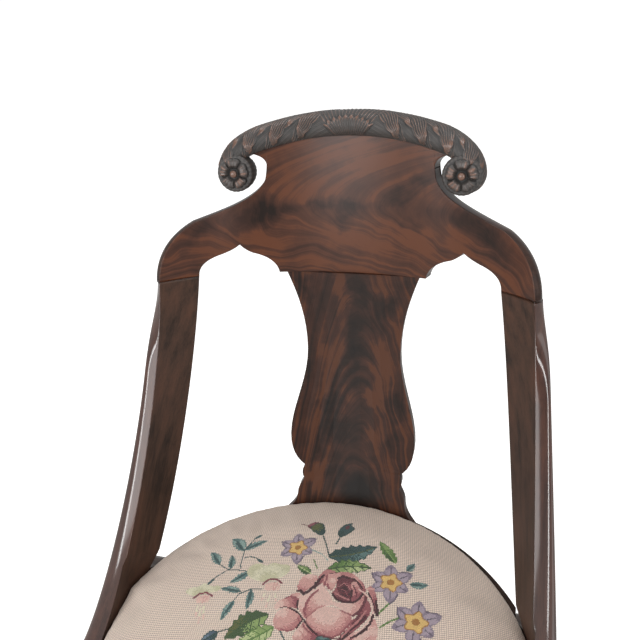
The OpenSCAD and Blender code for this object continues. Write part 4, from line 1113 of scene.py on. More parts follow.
# %% Walk over the stuffed form
# rays from the seat's heart find the skin in every bearing, from straight up to the hem
stitch = 2.2
askew = math.radians(8.4)
row_axis = np.array([math.cos(askew), math.sin(askew)])
column_axis = np.array([math.sin(askew), -math.cos(askew)])
heart = Vector((0, seat_mid * MM, (seat_top - 2) * MM))
stuffed_tree = skin_tree(cushion_form)
bearing_count = 360
bearings = np.arange(bearing_count) * 2 * np.pi / bearing_count
tilts = np.radians(np.concatenate([
    np.linspace(90, 20, 70, endpoint=False), np.linspace(20, -2, 34, endpoint=False),
    np.linspace(-2, -8, 80, endpoint=False), np.linspace(-8, -20, 12)]))
tilt_count = len(tilts)
walk = np.zeros((bearing_count, tilt_count, 3))
for i, bearing in enumerate(bearings):
    for j, tilt in enumerate(tilts):
        level = math.cos(tilt)
        ray = Vector((math.cos(bearing) * level, math.sin(bearing) * level, math.sin(tilt)))
        hit = tacked_tree.ray_cast(heart, ray)[0]
        if hit is None or hit.z > held_below * MM:
            hit = stuffed_tree.ray_cast(heart, ray)[0]
        walk[i, j] = hit if hit is not None else walk[i, j - 1]
walk[:, 0] = walk[:, 0].mean(0)
# on top the walk is evened out, because the form is rough there from its voxels
smooth_from, smooth_over, sweeps = math.radians(4), math.radians(14), 4
smooth_share = np.clip((tilts - smooth_from) / smooth_over, 0, 1)[None, :, None]
for _ in range(sweeps):
    walk += smooth_share * ((np.roll(walk, 1, 0) + 2 * walk + np.roll(walk, -1, 0)) / 4 - walk)
strides = np.linalg.norm(np.diff(walk, axis=1), axis=2)
walked = np.concatenate([np.zeros((bearing_count, 1)), np.cumsum(strides, axis=1)], 1) / MM
spread = np.hypot(walk[:, :, 0], walk[:, :, 1] - seat_mid * MM)
is_under = walk[:, :, 2] < (seat_under - cover_t + 1) * MM
turned_under = is_under & (spread < spread.max(1)[:, None] - hem * MM)
reach_end = np.argmax(turned_under, axis=1)
reach_end = np.where(reach_end == 0, tilt_count - 1, reach_end)
reach = walked[np.arange(bearing_count), reach_end]
print("crown to hem along the cover:", round(float(reach.min())), "to", round(float(reach.max())), "mm")


def on_cushion(a, b):
    """Lays canvas points, given in mm along and across its rows, on the form.

    Returns their places in metres, and which of them reach no further than the hem."""
    dx = a * row_axis[0] + b * column_axis[0]
    dy = a * row_axis[1] + b * column_axis[1]
    bearing = np.arctan2(dy, dx) % (2 * np.pi) / (2 * np.pi) * bearing_count
    first = np.floor(bearing).astype(int) % bearing_count
    share = bearing - np.floor(bearing)
    distance = np.hypot(dx, dy)
    placed = []
    for column in (first, (first + 1) % bearing_count):
        place = np.zeros((len(a), 3))
        for c in np.unique(column):
            m = column == c
            for axis in range(3):
                place[m, axis] = np.interp(distance[m], walked[c], walk[c, :, axis])
        placed.append(place)
    limit = reach[first] * (1 - share) + reach[(first + 1) % bearing_count] * share
    return placed[0] * (1 - share[:, None]) + placed[1] * share[:, None], distance <= limit


# %% Canvas faces, coarse outside and fine in the flowers
canvas_rows = np.array([(-140, 140), (-140, 140)])
flower_rows = np.array([(-66, 66), (-73, 40)])


def canvas_grid(rows, step):
    """A grid of square faces in canvas millimetres, and which of them are in the flowers."""
    a, b = (np.arange(first, last + 1) * step for first, last in rows)
    points = np.stack([axis.ravel() for axis in np.meshgrid(a, b, indexing="ij")], 1)
    i, j = np.meshgrid(np.arange(len(a) - 1), np.arange(len(b) - 1), indexing="ij")
    corner = (i * len(b) + j).ravel()
    quads = np.stack([corner, corner + 1, corner + len(b) + 1, corner + len(b)], 1)
    return points, quads, in_flowers(points[quads].mean(1))


def in_flowers(centres):
    """Which face centres lie where the canvas is worked in fine stitches."""
    first, last = flower_rows.T * stitch
    return ((centres > first) & (centres < last)).all(1)


wide_points, wide_quads, in_fine = canvas_grid(canvas_rows, stitch)
wide_quads = wide_quads[~in_fine]
fine_points, fine_quads, _ = canvas_grid(2 * flower_rows, stitch / 2)
canvas_points = np.concatenate([wide_points, fine_points])
canvas_quads = np.concatenate([wide_quads, fine_quads + len(wide_points)])
print("canvas:", len(wide_quads), "coarse and", len(fine_quads), "fine faces before trimming")

# %% Lay the canvas
laid, covered = on_cushion(canvas_points[:, 0], canvas_points[:, 1])
canvas_quads = canvas_quads[covered[canvas_quads].all(1)]
used = np.unique(canvas_quads)
renumber = np.full(len(canvas_points), -1)
renumber[used] = np.arange(len(used))
canvas_quads = renumber[canvas_quads]
canvas_points, laid = canvas_points[used], laid[used]
needlepoint_seat = make_mesh("needlepoint_seat", laid, canvas_quads.tolist())
face_centre = canvas_points[canvas_quads].mean(1)
bpy.data.objects.remove(cushion_form)
cut_size = np.ptp(canvas_points, axis=0)
print(f"cover: {len(canvas_quads)} stitches laid, {cut_size[0]:.0f} x {cut_size[1]:.0f} mm laid flat")

# %% [markdown]
# ## The bouquet
# A rose with buds, lilac star flowers, bells and leaves is the commonest of Victorian
# wool-work patterns. It is stitched from shaded threads, three to five to a petal. Here
# each form is an outline in canvas millimetres, and every stitch inside it picks a
# thread by where it lies, so the shading steps from thread to thread as wool does.

# %% Threads
threads = {
    "ground": "#d3c0b1",
    "rose_1": "#dfbaae", "rose_2": "#d09d94", "rose_3": "#b87b78",
    "rose_4": "#935257", "rose_5": "#642f36", "rose_6": "#3f1c21",
    "lilac_1": "#ab9ba6", "lilac_2": "#8c7d8b", "lilac_3": "#665a68", "yellow": "#e0bb73", "amber": "#a8743a",
    "teal_1": "#8ba39a", "teal_2": "#5c7b77", "teal_3": "#34504f", "pine": "#25403c", "olive": "#59602f",
    "leaf_1": "#b9c48c", "leaf_2": "#8aa160", "leaf_3": "#5c7c3c", "leaf_4": "#39522c",
    "cream": "#dcd6b9", "cream_2": "#c8c3a0", "bell_pink": "#dcb6a9", "bell_red": "#7c3440",
    "blue": "#4a5b6b", "blue_2": "#6d8290",
}
thread_names = list(threads)
thread_of = np.zeros(len(face_centre), int)
petit = in_flowers(face_centre)
fleck = np.random.default_rng(11).random(len(face_centre))
sa, sb = face_centre[:, 0], face_centre[:, 1]


def from_straight(x, y, start, end):
    """How far points are from the straight stroke between two points."""
    (x0, y0), (x1, y1) = start, end
    dx, dy = x1 - x0, y1 - y0
    t = np.clip(((x - x0) * dx + (y - y0) * dy) / (dx**2 + dy**2 + 1e-9), 0, 1)
    return np.hypot(x - x0 - t * dx, y - y0 - t * dy)


def inside(outline):
    """Which stitches lie in a closed outline, and how far each is from its edge."""
    points = np.array(outline, float)
    hit = np.zeros(len(sa), bool)
    far = np.full(len(sa), 1e9)
    low, high = points.min(0) - 1, points.max(0) + 1
    near = (sa > low[0]) & (sa < high[0]) & (sb > low[1]) & (sb < high[1])
    x, y = sa[near], sb[near]
    h, d = np.zeros(len(x), bool), np.full(len(x), 1e9)
    for (x0, y0), (x1, y1) in zip(points, np.roll(points, -1, 0)):
        crossing = ((y0 > y) != (y1 > y)) & (x < (x1 - x0) * (y - y0) / (y1 - y0 + 1e-12) + x0)
        h ^= crossing
        d = np.minimum(d, from_straight(x, y, (x0, y0), (x1, y1)))
    hit[near], far[near] = h, d
    return hit, far


def rounded(outline, cuts=2):
    """Cuts an outline's corners, so that a few points make a soft petal."""
    points = np.array(outline, float)
    for _ in range(cuts):
        following = np.roll(points, -1, 0)
        cut = points * 0.75 + following * 0.25, points * 0.25 + following * 0.75
        points = np.stack(cut, 1).reshape(-1, 2)
    return points


def shaded(outline, shades, light, rim=None, rim_mm=0.0, soft=2):
    """Fills a petal or leaf with threads from light to dark, away from the point of light."""
    hit, edge = inside(rounded(outline, soft))
    if not hit.any():
        return
    away = np.hypot(sa[hit] - light[0], sb[hit] - light[1])
    level = (away - away.min()) / max(1e-6, np.ptp(away)) * len(shades) + (fleck[hit] - 0.5) * 0.7
    pick = np.clip(level.astype(int), 0, len(shades) - 1)
    thread_of[hit] = np.array([thread_names.index(s) for s in shades])[pick]
    if rim:
        thread_of[hit & (edge < rim_mm)] = thread_names.index(rim)


def line(points, thread, width=1.2):
    """A stem or vein, worked one or two stitches wide."""
    points = np.array(points, float)
    for start, end in zip(points[:-1], points[1:]):
        thread_of[from_straight(sa, sb, start, end) < width / 2] = thread_names.index(thread)


def leaf(base, tip, width, shades, rib, rim, bend):
    """A pointed leaf with saw-like edges, darker on one half, and a vein down its middle."""
    base, tip = np.array(base, float), np.array(tip, float)
    along = tip - base
    across = np.array([-along[1], along[0]]) / np.linalg.norm(along)
    t = np.linspace(0, 1, 40)
    mid = base + t[:, None] * along + (np.sin(np.pi * t) * bend)[:, None] * across
    half = (width / 2 * np.sin(np.pi * t**0.8) ** 0.8 * (1 + 0.16 * np.cos(2 * np.pi * 6 * t)))[:, None]
    one, other = mid + half * across, mid - half * across
    shaded(np.concatenate([mid, one[::-1]]), shades[:2], tip, rim, 0.9, 0)
    shaded(np.concatenate([mid, other[::-1]]), shades[1:], tip, rim, 0.9, 0)
    line(mid[:-4], rib, 1.2)
    if width > 16:
        for k in (7, 14, 21, 28):
            line([mid[k], (mid + 0.8 * half * across)[k + 5]], rim, 1.1)
            line([mid[k], (mid - 0.8 * half * across)[k + 5]], rim, 1.1)


def ring_round(centre, radius, count, wave=0.0):
    """Points round a centre, on a circle or on a ring with five waves."""
    a = np.linspace(0, 2 * math.pi, count, endpoint=False)
    return centre + (radius * (1 + wave * np.cos(5 * a)))[:, None] * np.column_stack([np.cos(a), np.sin(a)])


def star_flower(centre, radius, turn, petal_count=6):
    """A lilac star with a yellow eye."""
    centre = np.array(centre, float)
    for i in range(petal_count):
        a = turn + i * 2 * math.pi / petal_count
        out, side = np.array([math.cos(a), math.sin(a)]), np.array([-math.sin(a), math.cos(a)])
        long = radius * (1 + 0.12 * math.sin(i * 2.4))
        half = [(3, -2), (long * 0.55, -radius * 0.36), (long * 0.9, -radius * 0.2)]
        petal = half + [(long * 1.08, 0)] + [(along, -across) for along, across in half[::-1]]
        outline = [centre + out * along + side * across for along, across in petal]
        shaded(outline, ("lilac_2", "lilac_1", "lilac_1", "lilac_2"), centre + out * 4, "lilac_2", 1.3, 1)
        line([centre + out * radius * 0.5, centre + out * radius * 0.85], "lilac_3", 1.3)
        if i % 2:
            line(outline[1:4], "lilac_3", 1.3)
    shaded(ring_round(centre, radius * 0.47, 24, 0.2), ("yellow",), centre, "amber", 1.1, 0)
    shaded(ring_round(centre, radius * 0.17, 12), ("amber",), centre, soft=0)


print(len(threads), "threads for", int(petit.sum()), "fine stitches")

# %% Leaves, sprigs and stems first
sprig = [  # base, tip, width and bend of each leaf
    ((-72, -47), (-95, -51), 8, 1), ((-61, -49), (-62, -25), 8, -1), ((-77, -36), (-86, -12), 8, 1),
    ((-104, -84), (-119, -103), 10, 1), ((-90, -77), (-93, -97), 8, 1), ((-68, -73), (-87, -58), 9, -1),
    ((-81, -103), (-99, -123), 14, 2), ((-80, -104), (-56, -118), 9, -1), ((-72, -121), (-64, -128), 4, 0),
    ((100, -82), (108, -93), 8, 0), ((103, -64), (122, -66), 9, 1),
]
for base, tip, width, bend in sprig:
    leaf(base, tip, width, ("teal_2", "teal_1", "teal_2"), "teal_3", "teal_2", bend)
    base, tip = np.array(base), np.array(tip)
    line([base * 0.85 + tip * 0.15, base * 0.4 + tip * 0.6], "teal_3", 2.6)
stems = [
    [(-50, -50), (-61, -50), (-73, -44), (-79, -32)], [(-68, -73), (-81, -75), (-92, -76), (-105, -84)],
    [(-92, -76), (-103, -67), (-109, -58)], [(-79, -77), (-80, -90), (-80, -103), (-72, -120)],
    [(-78, -92), (-71, -94), (-63, -91), (-58, -86)],
]
for stem in stems:
    line(stem, "teal_3", 1.2)
line([(-106, -63), (-110, -57)], "teal_3", 3.0)
line([(-61, -89), (-57, -86)], "teal_3", 3.4)
leaf((16, -95), (67, -113), 24, ("teal_2", "teal_3", "pine"), "olive", "pine", 4)
leaf((16, -77), (63, -82), 19, ("leaf_1", "leaf_2", "leaf_3"), "leaf_4", "leaf_4", -3)
leaf((88, -91), (69, -122), 12, ("leaf_2", "leaf_3", "leaf_4"), "leaf_2", "leaf_3", 0)
leaf((-1, -71), (-17, -82), 10, ("leaf_2", "leaf_3", "leaf_4"), "leaf_1", "leaf_4", 0)
line([(0, -90), (5, -78)], "leaf_3", 1.4)
line([(-6, -105), (8, -98), (15, -90)], "teal_1", 1.1)
leaf((-38, -20), (-78, 8), 24, ("olive", "leaf_4", "leaf_2"), "leaf_4", "leaf_4", 3)
leaf((-30, -6), (-66, 14), 19, ("leaf_1", "leaf_2", "leaf_1"), "leaf_3", "leaf_3", -2)
leaf((-86, 0), (-102, 12), 12, ("blue_2", "blue", "pine"), "pine", "pine", 0)
line([(-88, 1), (-76, -3)], "pine", 1.4)
line([(72, -26), (80, -36), (87, -45)], "leaf_3", 2.0)
line([(74, -11), (86, -20), (97, -25)], "leaf_3", 2.0)
line([(-25, -5), (-17, 8), (-16, 22)], "teal_3", 1.6)
print("leaves and stems worked")

# %% Buds, bells and star flowers
line([(6, -126), (11, -112), (17, -93)], "pine", 1.6)
line([(25, -124), (22, -114)], "pine", 1.6)
shaded([(-16, -143), (-9, -151), (0, -149), (-3, -140), (-9, -136)], ("rose_4", "rose_5"), (-12, -148))
line([(-21, -146), (-14, -144)], "rose_5", 1.2)
shaded([(-12, -139), (-4, -148), (4, -148), (8, -134), (6, -125), (-3, -129)], ("olive", "pine"), (-6, -142),
       "pine", 0.8)
shaded([(24, -122), (21, -133), (27, -145), (38, -152), (36, -145), (42, -140), (34, -130)],
       ("teal_3", "pine"), (32, -142), "pine", 0.8)
shaded([(29, -143), (34, -146), (35, -140), (30, -137)], ("rose_5",), (32, -142))
bells = [  # fan, arc, tube and drips of each
    ([(-51, -58), (-70, -66), (-70, -80), (-60, -85), (-50, -80), (-44, -86), (-34, -82), (-24, -82),
      (-24, -72), (-32, -64)], [(-50, -56), (-45, -62), (-37, -63), (-30, -58)],
     [(-49, -58), (-31, -59), (-31, -48), (-38, -41), (-46, -46)],
     [[(-46, -44), (-48, -36)], [(-40, -42), (-42, -28)], [(-35, -44), (-33, -36)]]),
    ([(-120, -42), (-134, -46), (-132, -53), (-120, -54), (-114, -60), (-108, -54), (-94, -55), (-96, -48),
      (-108, -45)], [(-122, -40), (-117, -45), (-109, -46), (-102, -42)],
     [(-120, -42), (-103, -43), (-105, -32), (-111, -27), (-117, -32)],
     [[(-115, -30), (-114, -17)], [(-108, -29), (-105, -14)], [(-111, -27), (-109, -10)]]),
]
for bell in bells:
    fan, arc, tube = (np.array(part) for part in bell[:3])
    shaded(fan, ("cream_2", "cream", "cream_2"), arc[1])
    for point in fan[1:-1]:
        line([arc[1], (point + arc[1]) / 2], "cream_2", 0.9)
    shaded(tube, ("ground", "bell_pink"), tube[3])
    for share in (0.2, 0.4, 0.6, 0.8):
        start = tube[0] * (1 - share) + tube[1] * share
        line([start, start * 0.45 + tube[3] * 0.55], "bell_pink" if share < 0.5 else "rose_2", 1.2)
    for drip in np.array(bell[3]):
        line(drip, "bell_pink", 1.6)
        line([drip[0], (drip[0] + drip[1]) / 2], "cream", 1.6)
    line(arc, "bell_red", 2.2)
star_flower((-20, -107), 20.5, -1.65)
star_flower((83, -65), 22.5, -1.57)
star_flower((109, -20), 24, -1.4)
shaded([(10, 12), (13, 2), (22, -2), (29, -1), (28, 10)], ("teal_2", "teal_3", "olive"), (20, 0), "pine", 0.9)
print("buds, bells and stars worked")

# %% The rose, from its outer petals to its heart
rose = [  # outline, threads from light to dark, and the point of light
    ([(31, 8), (42, -3), (58, -6), (66, -13), (67, -21), (70, -19), (73, -8), (71, 8), (68, 18), (62, 25),
      (41, 27), (32, 19)], ("rose_2", "rose_1", "rose_2", "rose_3"), (69, 8)),  # ruffle at the lower right
    ([(60, -56), (62, -59), (66, -56), (69, -49), (71, -39), (72, -25), (70, -23), (67, -31), (65, -40),
      (62, -47)], ("rose_3", "rose_4", "rose_5"), (63, -56)),  # right outer petal
    ([(5, -53), (7, -66), (11, -73), (16, -78), (23, -76), (27, -74), (19, -72), (16, -67), (13, -61),
      (11, -57), (8, -55)], ("rose_3", "rose_3", "rose_4", "rose_5"), (21, -76)),  # upper left outer petal
    ([(12, -61), (15, -69), (20, -73), (27, -74), (33, -74), (29, -67), (27, -59), (24, -50), (20, -52),
      (17, -56), (14, -56)], ("rose_1", "rose_2", "rose_2", "rose_3"), (23, -63)),  # petal left of the heart
    ([(27, -74), (37, -75), (44, -73), (51, -67), (56, -60), (59, -52), (57, -50), (51, -56), (44, -66),
      (36, -68), (29, -68)], ("rose_3", "rose_2", "rose_3", "rose_4"), (38, -74)),  # petal over the heart
    ([(0, -18), (-1, -30), (1, -41), (5, -49), (12, -59), (15, -55), (20, -49), (23, -44), (25, -38),
      (29, -36), (22, -32), (16, -30), (10, -27), (4, -20)], ("rose_1", "rose_1", "rose_2", "rose_3"),
     (20, -46)),  # left petal, inner half
    ([(-1, -16), (-5, -23), (-8, -27), (-9, -33), (-8, -39), (-5, -43), (0, -46), (4, -52), (6, -51),
      (3, -48), (1, -42), (-1, -35), (-2, -27), (-1, -21), (1, -17)], ("rose_1", "rose_1", "rose_2"),
     (1, -50)),  # left petal, turned edge
    ([(23, -34), (25, -38), (31, -36), (39, -36), (46, -36), (53, -41), (57, -48), (59, -49), (59, -42),
      (56, -32), (52, -25), (47, -22), (42, -25), (37, -27), (31, -31)],
     ("rose_1", "rose_1", "rose_2", "rose_3"), (32, -34)),  # right sweep
    ([(59, -43), (63, -39), (65, -30), (63, -21), (56, -12), (49, -4), (42, 2), (37, 7), (34, 4), (41, -5),
      (47, -14), (51, -22), (55, -30)], ("rose_4", "rose_5", "rose_4", "rose_6"),
     (63, -35)),  # shade in the right sweep
    ([(0, -15), (5, -21), (10, -27), (18, -31), (28, -31), (37, -27), (47, -21), (46, -14), (41, -7),
      (34, -1), (31, 3), (24, 2), (14, 0), (8, -3), (4, -9)], ("rose_1", "rose_1", "rose_2", "rose_3"),
     (21, -25)),  # big lower petal
    ([(-12, -48), (-13, -56), (-11, -64), (-7, -69), (-2, -71), (6, -69), (7, -65), (5, -57), (3, -55),
      (-1, -52), (-4, -47), (-8, -48)], ("rose_1", "rose_2", "rose_2", "rose_3"),
     (-2, -70)),  # upper left petal
    ([(-19, -44), (-14, -46), (-8, -46), (-5, -42), (-8, -38), (-12, -41), (-17, -42)], ("rose_2", "rose_1"),
     (-15, -45)),  # lip over the left petal
    ([(-24, -39), (-19, -42), (-14, -42), (-10, -39), (-8, -35), (-9, -32), (-9, -27), (-11, -27),
      (-16, -29), (-21, -29), (-27, -28), (-31, -25), (-34, -29), (-31, -35), (-28, -37)],
     ("rose_1", "rose_2", "rose_3", "rose_4"), (-30, -31)),  # left petal
    ([(-32, -13), (-30, -23), (-25, -27), (-19, -28), (-12, -25), (-6, -20), (-3, -16), (-5, -10), (-9, -4),
      (-14, -2), (-20, -3), (-25, -2), (-30, -6)], ("rose_1", "rose_2", "rose_2", "rose_3"),
     (-25, -23)),  # lower left petal
    ([(-1, -13), (3, -10), (6, -5), (11, -2), (15, 2), (12, 6), (7, 9), (0, 11), (-6, 10), (-10, 6), (-9, 0),
      (-5, -7)], ("rose_1", "rose_2", "rose_3", "rose_4"), (-6, -2)),  # bottom petal
    ([(27, -58), (29, -66), (33, -69), (41, -68), (49, -65), (54, -57), (55, -48), (53, -42), (46, -36),
      (39, -36), (31, -39), (25, -44), (23, -48), (27, -52)], ("rose_5", "rose_4", "rose_5"),
     (39, -41)),  # heart
    ([(42, -61), (47, -64), (51, -57), (53, -49), (49, -40), (44, -38), (45, -47), (44, -53)],
     ("rose_2", "rose_3", "rose_4"), (43, -61)),  # petal in the heart
    ([(28, -54), (33, -61), (39, -59), (43, -52), (43, -45), (37, -44), (31, -48)],
     ("rose_6", "rose_5", "rose_6"), (36, -53)),  # the heart's core
]
for outline, shades, light in rose:
    shaded(outline, shades, light, soft=1)
creases = [  # points, thread and width
    ([(59, -55), (67, -55)], "rose_2", 1.2),
    ([(69, -41), (71, -30), (71, -24)], "rose_6", 2.6),
    ([(61, -50), (65, -41), (68, -29)], "rose_6", 1.8),
    ([(6, -56), (8, -61), (10, -65), (13, -69)], "rose_6", 2.6),
    ([(6, -59), (5, -53)], "rose_6", 3.0),
    ([(17, -69), (16, -63), (15, -56)], "rose_4", 2.0),
    ([(18, -58), (20, -53)], "rose_4", 2.4),
    ([(19, -72), (27, -73)], "rose_5", 1.0),
    ([(9, -50), (5, -46), (1, -39), (-1, -33), (-2, -24), (1, -18)], "rose_4", 2.6),
    ([(1, -18), (6, -23), (10, -28)], "rose_4", 1.8),
    ([(0, -18), (5, -23), (11, -29), (18, -32)], "rose_3", 1.3),
    ([(35, -27), (43, -24), (47, -22)], "rose_4", 1.4),
    ([(47, -22), (53, -27), (57, -35), (59, -44), (58, -48)], "rose_5", 2.8),
    ([(51, -54), (57, -49), (63, -43), (66, -34), (67, -27), (64, -19), (58, -9), (50, -2)], "rose_1", 1.6),
    ([(67, -24), (65, -15), (59, -7), (52, 0)], "rose_6", 2.4),
    ([(38, 2), (45, -8), (54, -18), (60, -29)], "rose_3", 1.8),
    ([(42, -1), (52, -12), (60, -22)], "rose_6", 1.4),
    ([(11, -2), (19, 1), (28, 3), (36, -1), (42, -9), (48, -18)], "rose_4", 2.2),
    ([(14, 1), (25, 3), (33, 4), (38, 5)], "rose_5", 1.4),
    ([(-12, -48), (-9, -49), (-5, -45), (-2, -47), (2, -52)], "rose_6", 2.6),
    ([(-5, -45), (0, -49), (4, -54), (6, -56)], "rose_6", 3.2),
    ([(-24, -39), (-18, -42), (-13, -41), (-9, -38)], "rose_4", 1.4),
    ([(-10, -37), (-10, -32), (-9, -27)], "rose_6", 1.8),
    ([(-15, -34), (-12, -32), (-11, -28)], "rose_4", 1.6),
    ([(-27, -28), (-22, -29), (-17, -28)], "rose_5", 1.2),
    ([(-17, -28), (-11, -25), (-6, -21), (-2, -15)], "rose_6", 2.0),
    ([(-22, -4), (-16, -2), (-10, -4), (-6, -9)], "rose_4", 1.4),
    ([(-7, -17), (-5, -13)], "rose_4", 1.6),
    ([(-2, -15), (-5, -10), (-7, -5)], "rose_6", 1.6),
    ([(-1, -15), (4, -8), (9, -3), (13, 0)], "rose_6", 2.0),
    ([(-1, -9), (3, -4), (7, -1), (11, 1)], "rose_4", 1.8),
    ([(-4, -3), (-1, 0), (2, 6)], "rose_3", 1.4),
    ([(-2, 11), (4, 9), (9, 6)], "rose_4", 1.4),
    ([(29, -66), (33, -69), (39, -67)], "rose_6", 2.8),
    ([(39, -67), (46, -66), (51, -61), (54, -55)], "rose_6", 1.6),
    ([(25, -46), (29, -40), (37, -37), (46, -37), (52, -42), (55, -48)], "rose_6", 2.4),
    ([(27, -48), (33, -44), (39, -41), (43, -40)], "rose_3", 1.6),
    ([(30, -55), (35, -60), (40, -57), (42, -52)], "rose_3", 1.0),
    ([(33, -53), (37, -51), (40, -46)], "rose_4", 1.0),
    ([(44, -52), (44, -45), (43, -39)], "rose_6", 1.4),
    ([(45, -58), (48, -52), (49, -45)], "rose_5", 1.4),
    ([(31, 10), (42, 8), (51, 0)], "rose_4", 1.6),
    ([(47, 2), (56, -3), (62, -8)], "rose_6", 1.6),
    ([(36, 13), (46, 12), (57, 8), (65, 0)], "rose_3", 1.4),
]
for crease, thread, width in creases:
    line(crease, thread, width)
flowered = thread_of > 0
print("bouquet:", int(flowered.sum()), "stitches in", len(np.unique(thread_of)) - 1, "threads")

# %% Colour each stitch and number the canvas for its relief
wool = np.array([linear(threads[name])[:3] for name in thread_names])[thread_of]
# wool in the flowers varies at random, and the plain ground by which stitch it is
dye = np.random.default_rng(5).normal(0, 1, (len(face_centre), 1))
cell = (np.floor(sa / stitch) * 7919 + np.floor(sb / stitch) * 104729).astype(np.int64)
row_dye = np.sin(cell * 12.9898)[:, None]
wool = np.clip(wool * (1 + np.where(flowered[:, None], 0.06 * dye, 0.035 * row_dye)), 0, 1)
corner_colours = np.repeat(np.column_stack([wool, np.ones(len(wool))]), 4, axis=0).astype(np.float32)
wool_layer = needlepoint_seat.data.attributes.new("wool", "FLOAT_COLOR", "CORNER")
wool_layer.data.foreach_set("color", corner_colours.ravel())
per_mm = np.where(flowered, 2 / stitch, 1 / stitch)
corner_places = canvas_points[canvas_quads] * per_mm[:, None, None]
stitch_map = needlepoint_seat.data.uv_layers.new(name="stitches")
stitch_map.data.foreach_set("uv", corner_places.astype(np.float32).ravel())
print("stitch map from", corner_places.min().round(), "to", corner_places.max().round())

# %% [markdown]
# ## Wool
# Each tent stitch is a short slanting hump of wool, matt and a little fuzzy. One repeat
# of the stitch map is one stitch, so an oval turned 38 degrees in each repeat gives the
# hump. Its colour is darkened towards the rim as painted shade in the holes between
# stitches, and lifted a little on its top as painted light. Real wool fibres are 0.03 mm
# thick, so the fuzz is drawn at 0.7 mm.

# %% Wool material
needlepoint_wool, tree, shader = start_material("wool_tent_stitch_needlepoint")
colour = add(tree, "ShaderNodeAttribute", attribute_name="wool")
count = add(tree, "ShaderNodeUVMap", uv_map="stitches")
within = add(tree, "ShaderNodeVectorMath", {0: count.outputs[0]}, operation="FRACTION")
within = add(tree, "ShaderNodeVectorMath", {0: within.outputs[0], 1: (0.5, 0.5, 0)}, operation="SUBTRACT")
slant = add(tree, "ShaderNodeVectorRotate", {"Vector": within.outputs[0], "Angle": math.radians(38)},
            rotation_type="Z_AXIS")
oval = add(tree, "ShaderNodeVectorMath", {0: slant.outputs[0], 1: (1.35, 2.1, 0)}, operation="MULTIPLY")
off_middle = add(tree, "ShaderNodeVectorMath", {0: oval.outputs[0]}, operation="LENGTH")
hump = add(tree, "ShaderNodeMapRange",
           {"Value": off_middle.outputs["Value"], 1: 0.45, 2: 1.15, 3: 1.0, 4: 0.0},
           interpolation_type="SMOOTHSTEP")
fuzz_place = add(tree, "ShaderNodeTexCoord")
fuzz = add(tree, "ShaderNodeTexNoise",
           {"Vector": fuzz_place.outputs["Object"], "Scale": 1400.0, "Detail": 2.0})
# painted shade and light: a stitch's colour falls to 0.30 at its rim, in the holes, and rises to 1.13 on its
# top
painted_stitch_shading = add(tree, "ShaderNodeMapRange", {"Value": hump.outputs[0], 1: 0.0, 2: 0.8, 3: 0.30, 4: 1.13})
shade = add(tree, "ShaderNodeVectorMath", {0: colour.outputs["Color"], "Scale": painted_stitch_shading.outputs[0]},
            operation="SCALE")
lift = add(tree, "ShaderNodeMath", {0: fuzz.outputs["Fac"], 1: 0.25, 2: hump.outputs[0]},
           operation="MULTIPLY_ADD")
relief_bump = add(tree, "ShaderNodeBump", {"Strength": 0.8, "Distance": 0.8 * MM, "Height": lift.outputs[0]})
fill(shader, {"Base Color": shade.outputs[0], "Normal": relief_bump.outputs[0], "Roughness": 0.9,
              "Specular IOR Level": 0.2, "Sheen Weight": 0.25, "Sheen Roughness": 0.5})
needlepoint_seat.data.materials.append(needlepoint_wool)
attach(needlepoint_seat, "slip_seat")
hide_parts("needlepoint_cover", "stuffing")
print("seat covered")

# %% [markdown]
# ## Webbing, hessian and dust cloth
# Under the stuffing three strips of jute webbing run each way, with hessian over them.
# A black dust cloth closes the underside. Each is a thin closed skin of its own: the
# strips are thinner at their selvedges and show their ribs, and the dust cloth hangs a
# little between its tacks.


# %% Cloth sheets
webbing_half = 25


def sheet_skin(name, node, grow, droop):
    """A cloth of the seat's outline, as thick as its node, that hangs by droop in the middle."""
    low, high = (corner.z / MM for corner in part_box(node))
    shares = (0, 0.04, 0.1, 0.18, 0.28, 0.4, 0.55, 0.72, 0.9)
    sag = {q: droop * (1 - (1 - q) ** 4) for q in shares}
    below = [seat_ring(grow, q, low - sag[q]) for q in shares[::-1]]
    return ring_skin(name, below + [seat_ring(grow, q, high - sag[q]) for q in shares])


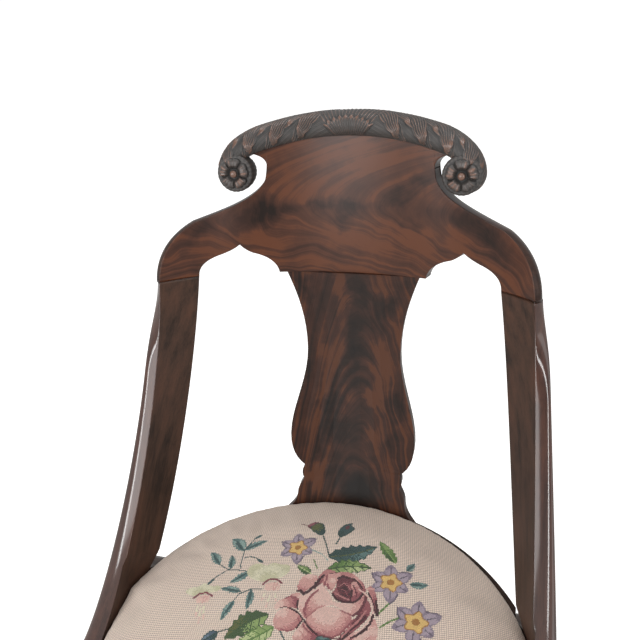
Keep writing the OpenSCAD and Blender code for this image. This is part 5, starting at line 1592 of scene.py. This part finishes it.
def webbing_skin(name, strips, low, high):
    """Strips of webbing, each given as (start, end, across) in mm, in one mesh."""
    points, faces = [], []
    edge, selvedge = webbing_half, webbing_half - 1.5
    ribs = [(x, 1 - 0.12 * (k % 2)) for k, x in enumerate(np.linspace(21, -21, 15))]
    profile = [(-edge, 0.35), (-selvedge, 0.1), (selvedge, 0.1), (edge, 0.35), (edge, 0.65),
               (selvedge, 0.9), (selvedge, 1), *ribs, (-selvedge, 1), (-edge, 0.65)]
    stations = np.linspace(0, 1, 24)
    for strip in strips:
        start, end, across = (np.array(v, float) for v in strip)
        first = len(points)
        for t in stations:
            for x, share in profile:
                spot = start * (1 - t) + end * t + across * x
                points.append((spot[0] * MM, spot[1] * MM, (low + (high - low) * share) * MM))
        faces += [tuple(first + k for k in face) for face in ring_faces(len(stations), len(profile))]
    return make_mesh(name, points, faces)


# %% Lay the sheets
long_box, cross_box = ([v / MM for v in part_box(node)] for node in ("webbing_long", "webbing_cross"))
end_gap = 12
long_x = (long_box[0].x + webbing_half, 0, long_box[1].x - webbing_half)
cross_y = np.linspace(cross_box[0].y + webbing_half, cross_box[1].y - webbing_half, 3)
cross_half = [min(seat_half, math.sqrt(seat_rear_r**2 - max(0, y + webbing_half - ring_y) ** 2)) - end_gap
              for y in cross_y]
long_strips = [((x, long_box[0].y, 0), (x, long_box[1].y, 0), (1, 0, 0)) for x in long_x]
cross_strips = [((-h, y, 0), (h, y, 0), (0, -1, 0)) for y, h in zip(cross_y, cross_half)]
strip_long = long_box[1].y - long_box[0].y
lengthways = webbing_skin("webbing_lengthways", long_strips, long_box[0].z, long_box[1].z)
crossways = webbing_skin("webbing_crossways", cross_strips, cross_box[0].z, cross_box[1].z)
hessian_cloth = sheet_skin("hessian_cloth", "hessian", -6, 0)
dust_sheet = sheet_skin("dust_sheet", "dust_cloth", -19, 1.5)
cloths = [  # piece, node, material, slot, flat size in mm, area in square mm where it isn't all of that
    (lengthways, "webbing_long", jute, "jute_webbing", (2 * webbing_half, 3 * strip_long), None),
    (crossways, "webbing_cross", jute, "jute_webbing", (2 * webbing_half, 2 * sum(cross_half)), None),
    (hessian_cloth, "hessian", hessian, "hessian", (410, 375), 137800),
    (dust_sheet, "dust_cloth", calico, "calico", (384, 349), 120250),
]
for piece, node, cloth_material, slot, flat_mm, area_mm2 in cloths:
    piece.data.materials.append(cloth_material)
    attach(piece, "slip_seat")
    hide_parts(node)
    low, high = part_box(node)
    own, cad = ([round(v / MM, 1) for v in size] for size in (piece.dimensions, high - low))
    print(node, "own:", own, "node:", cad)
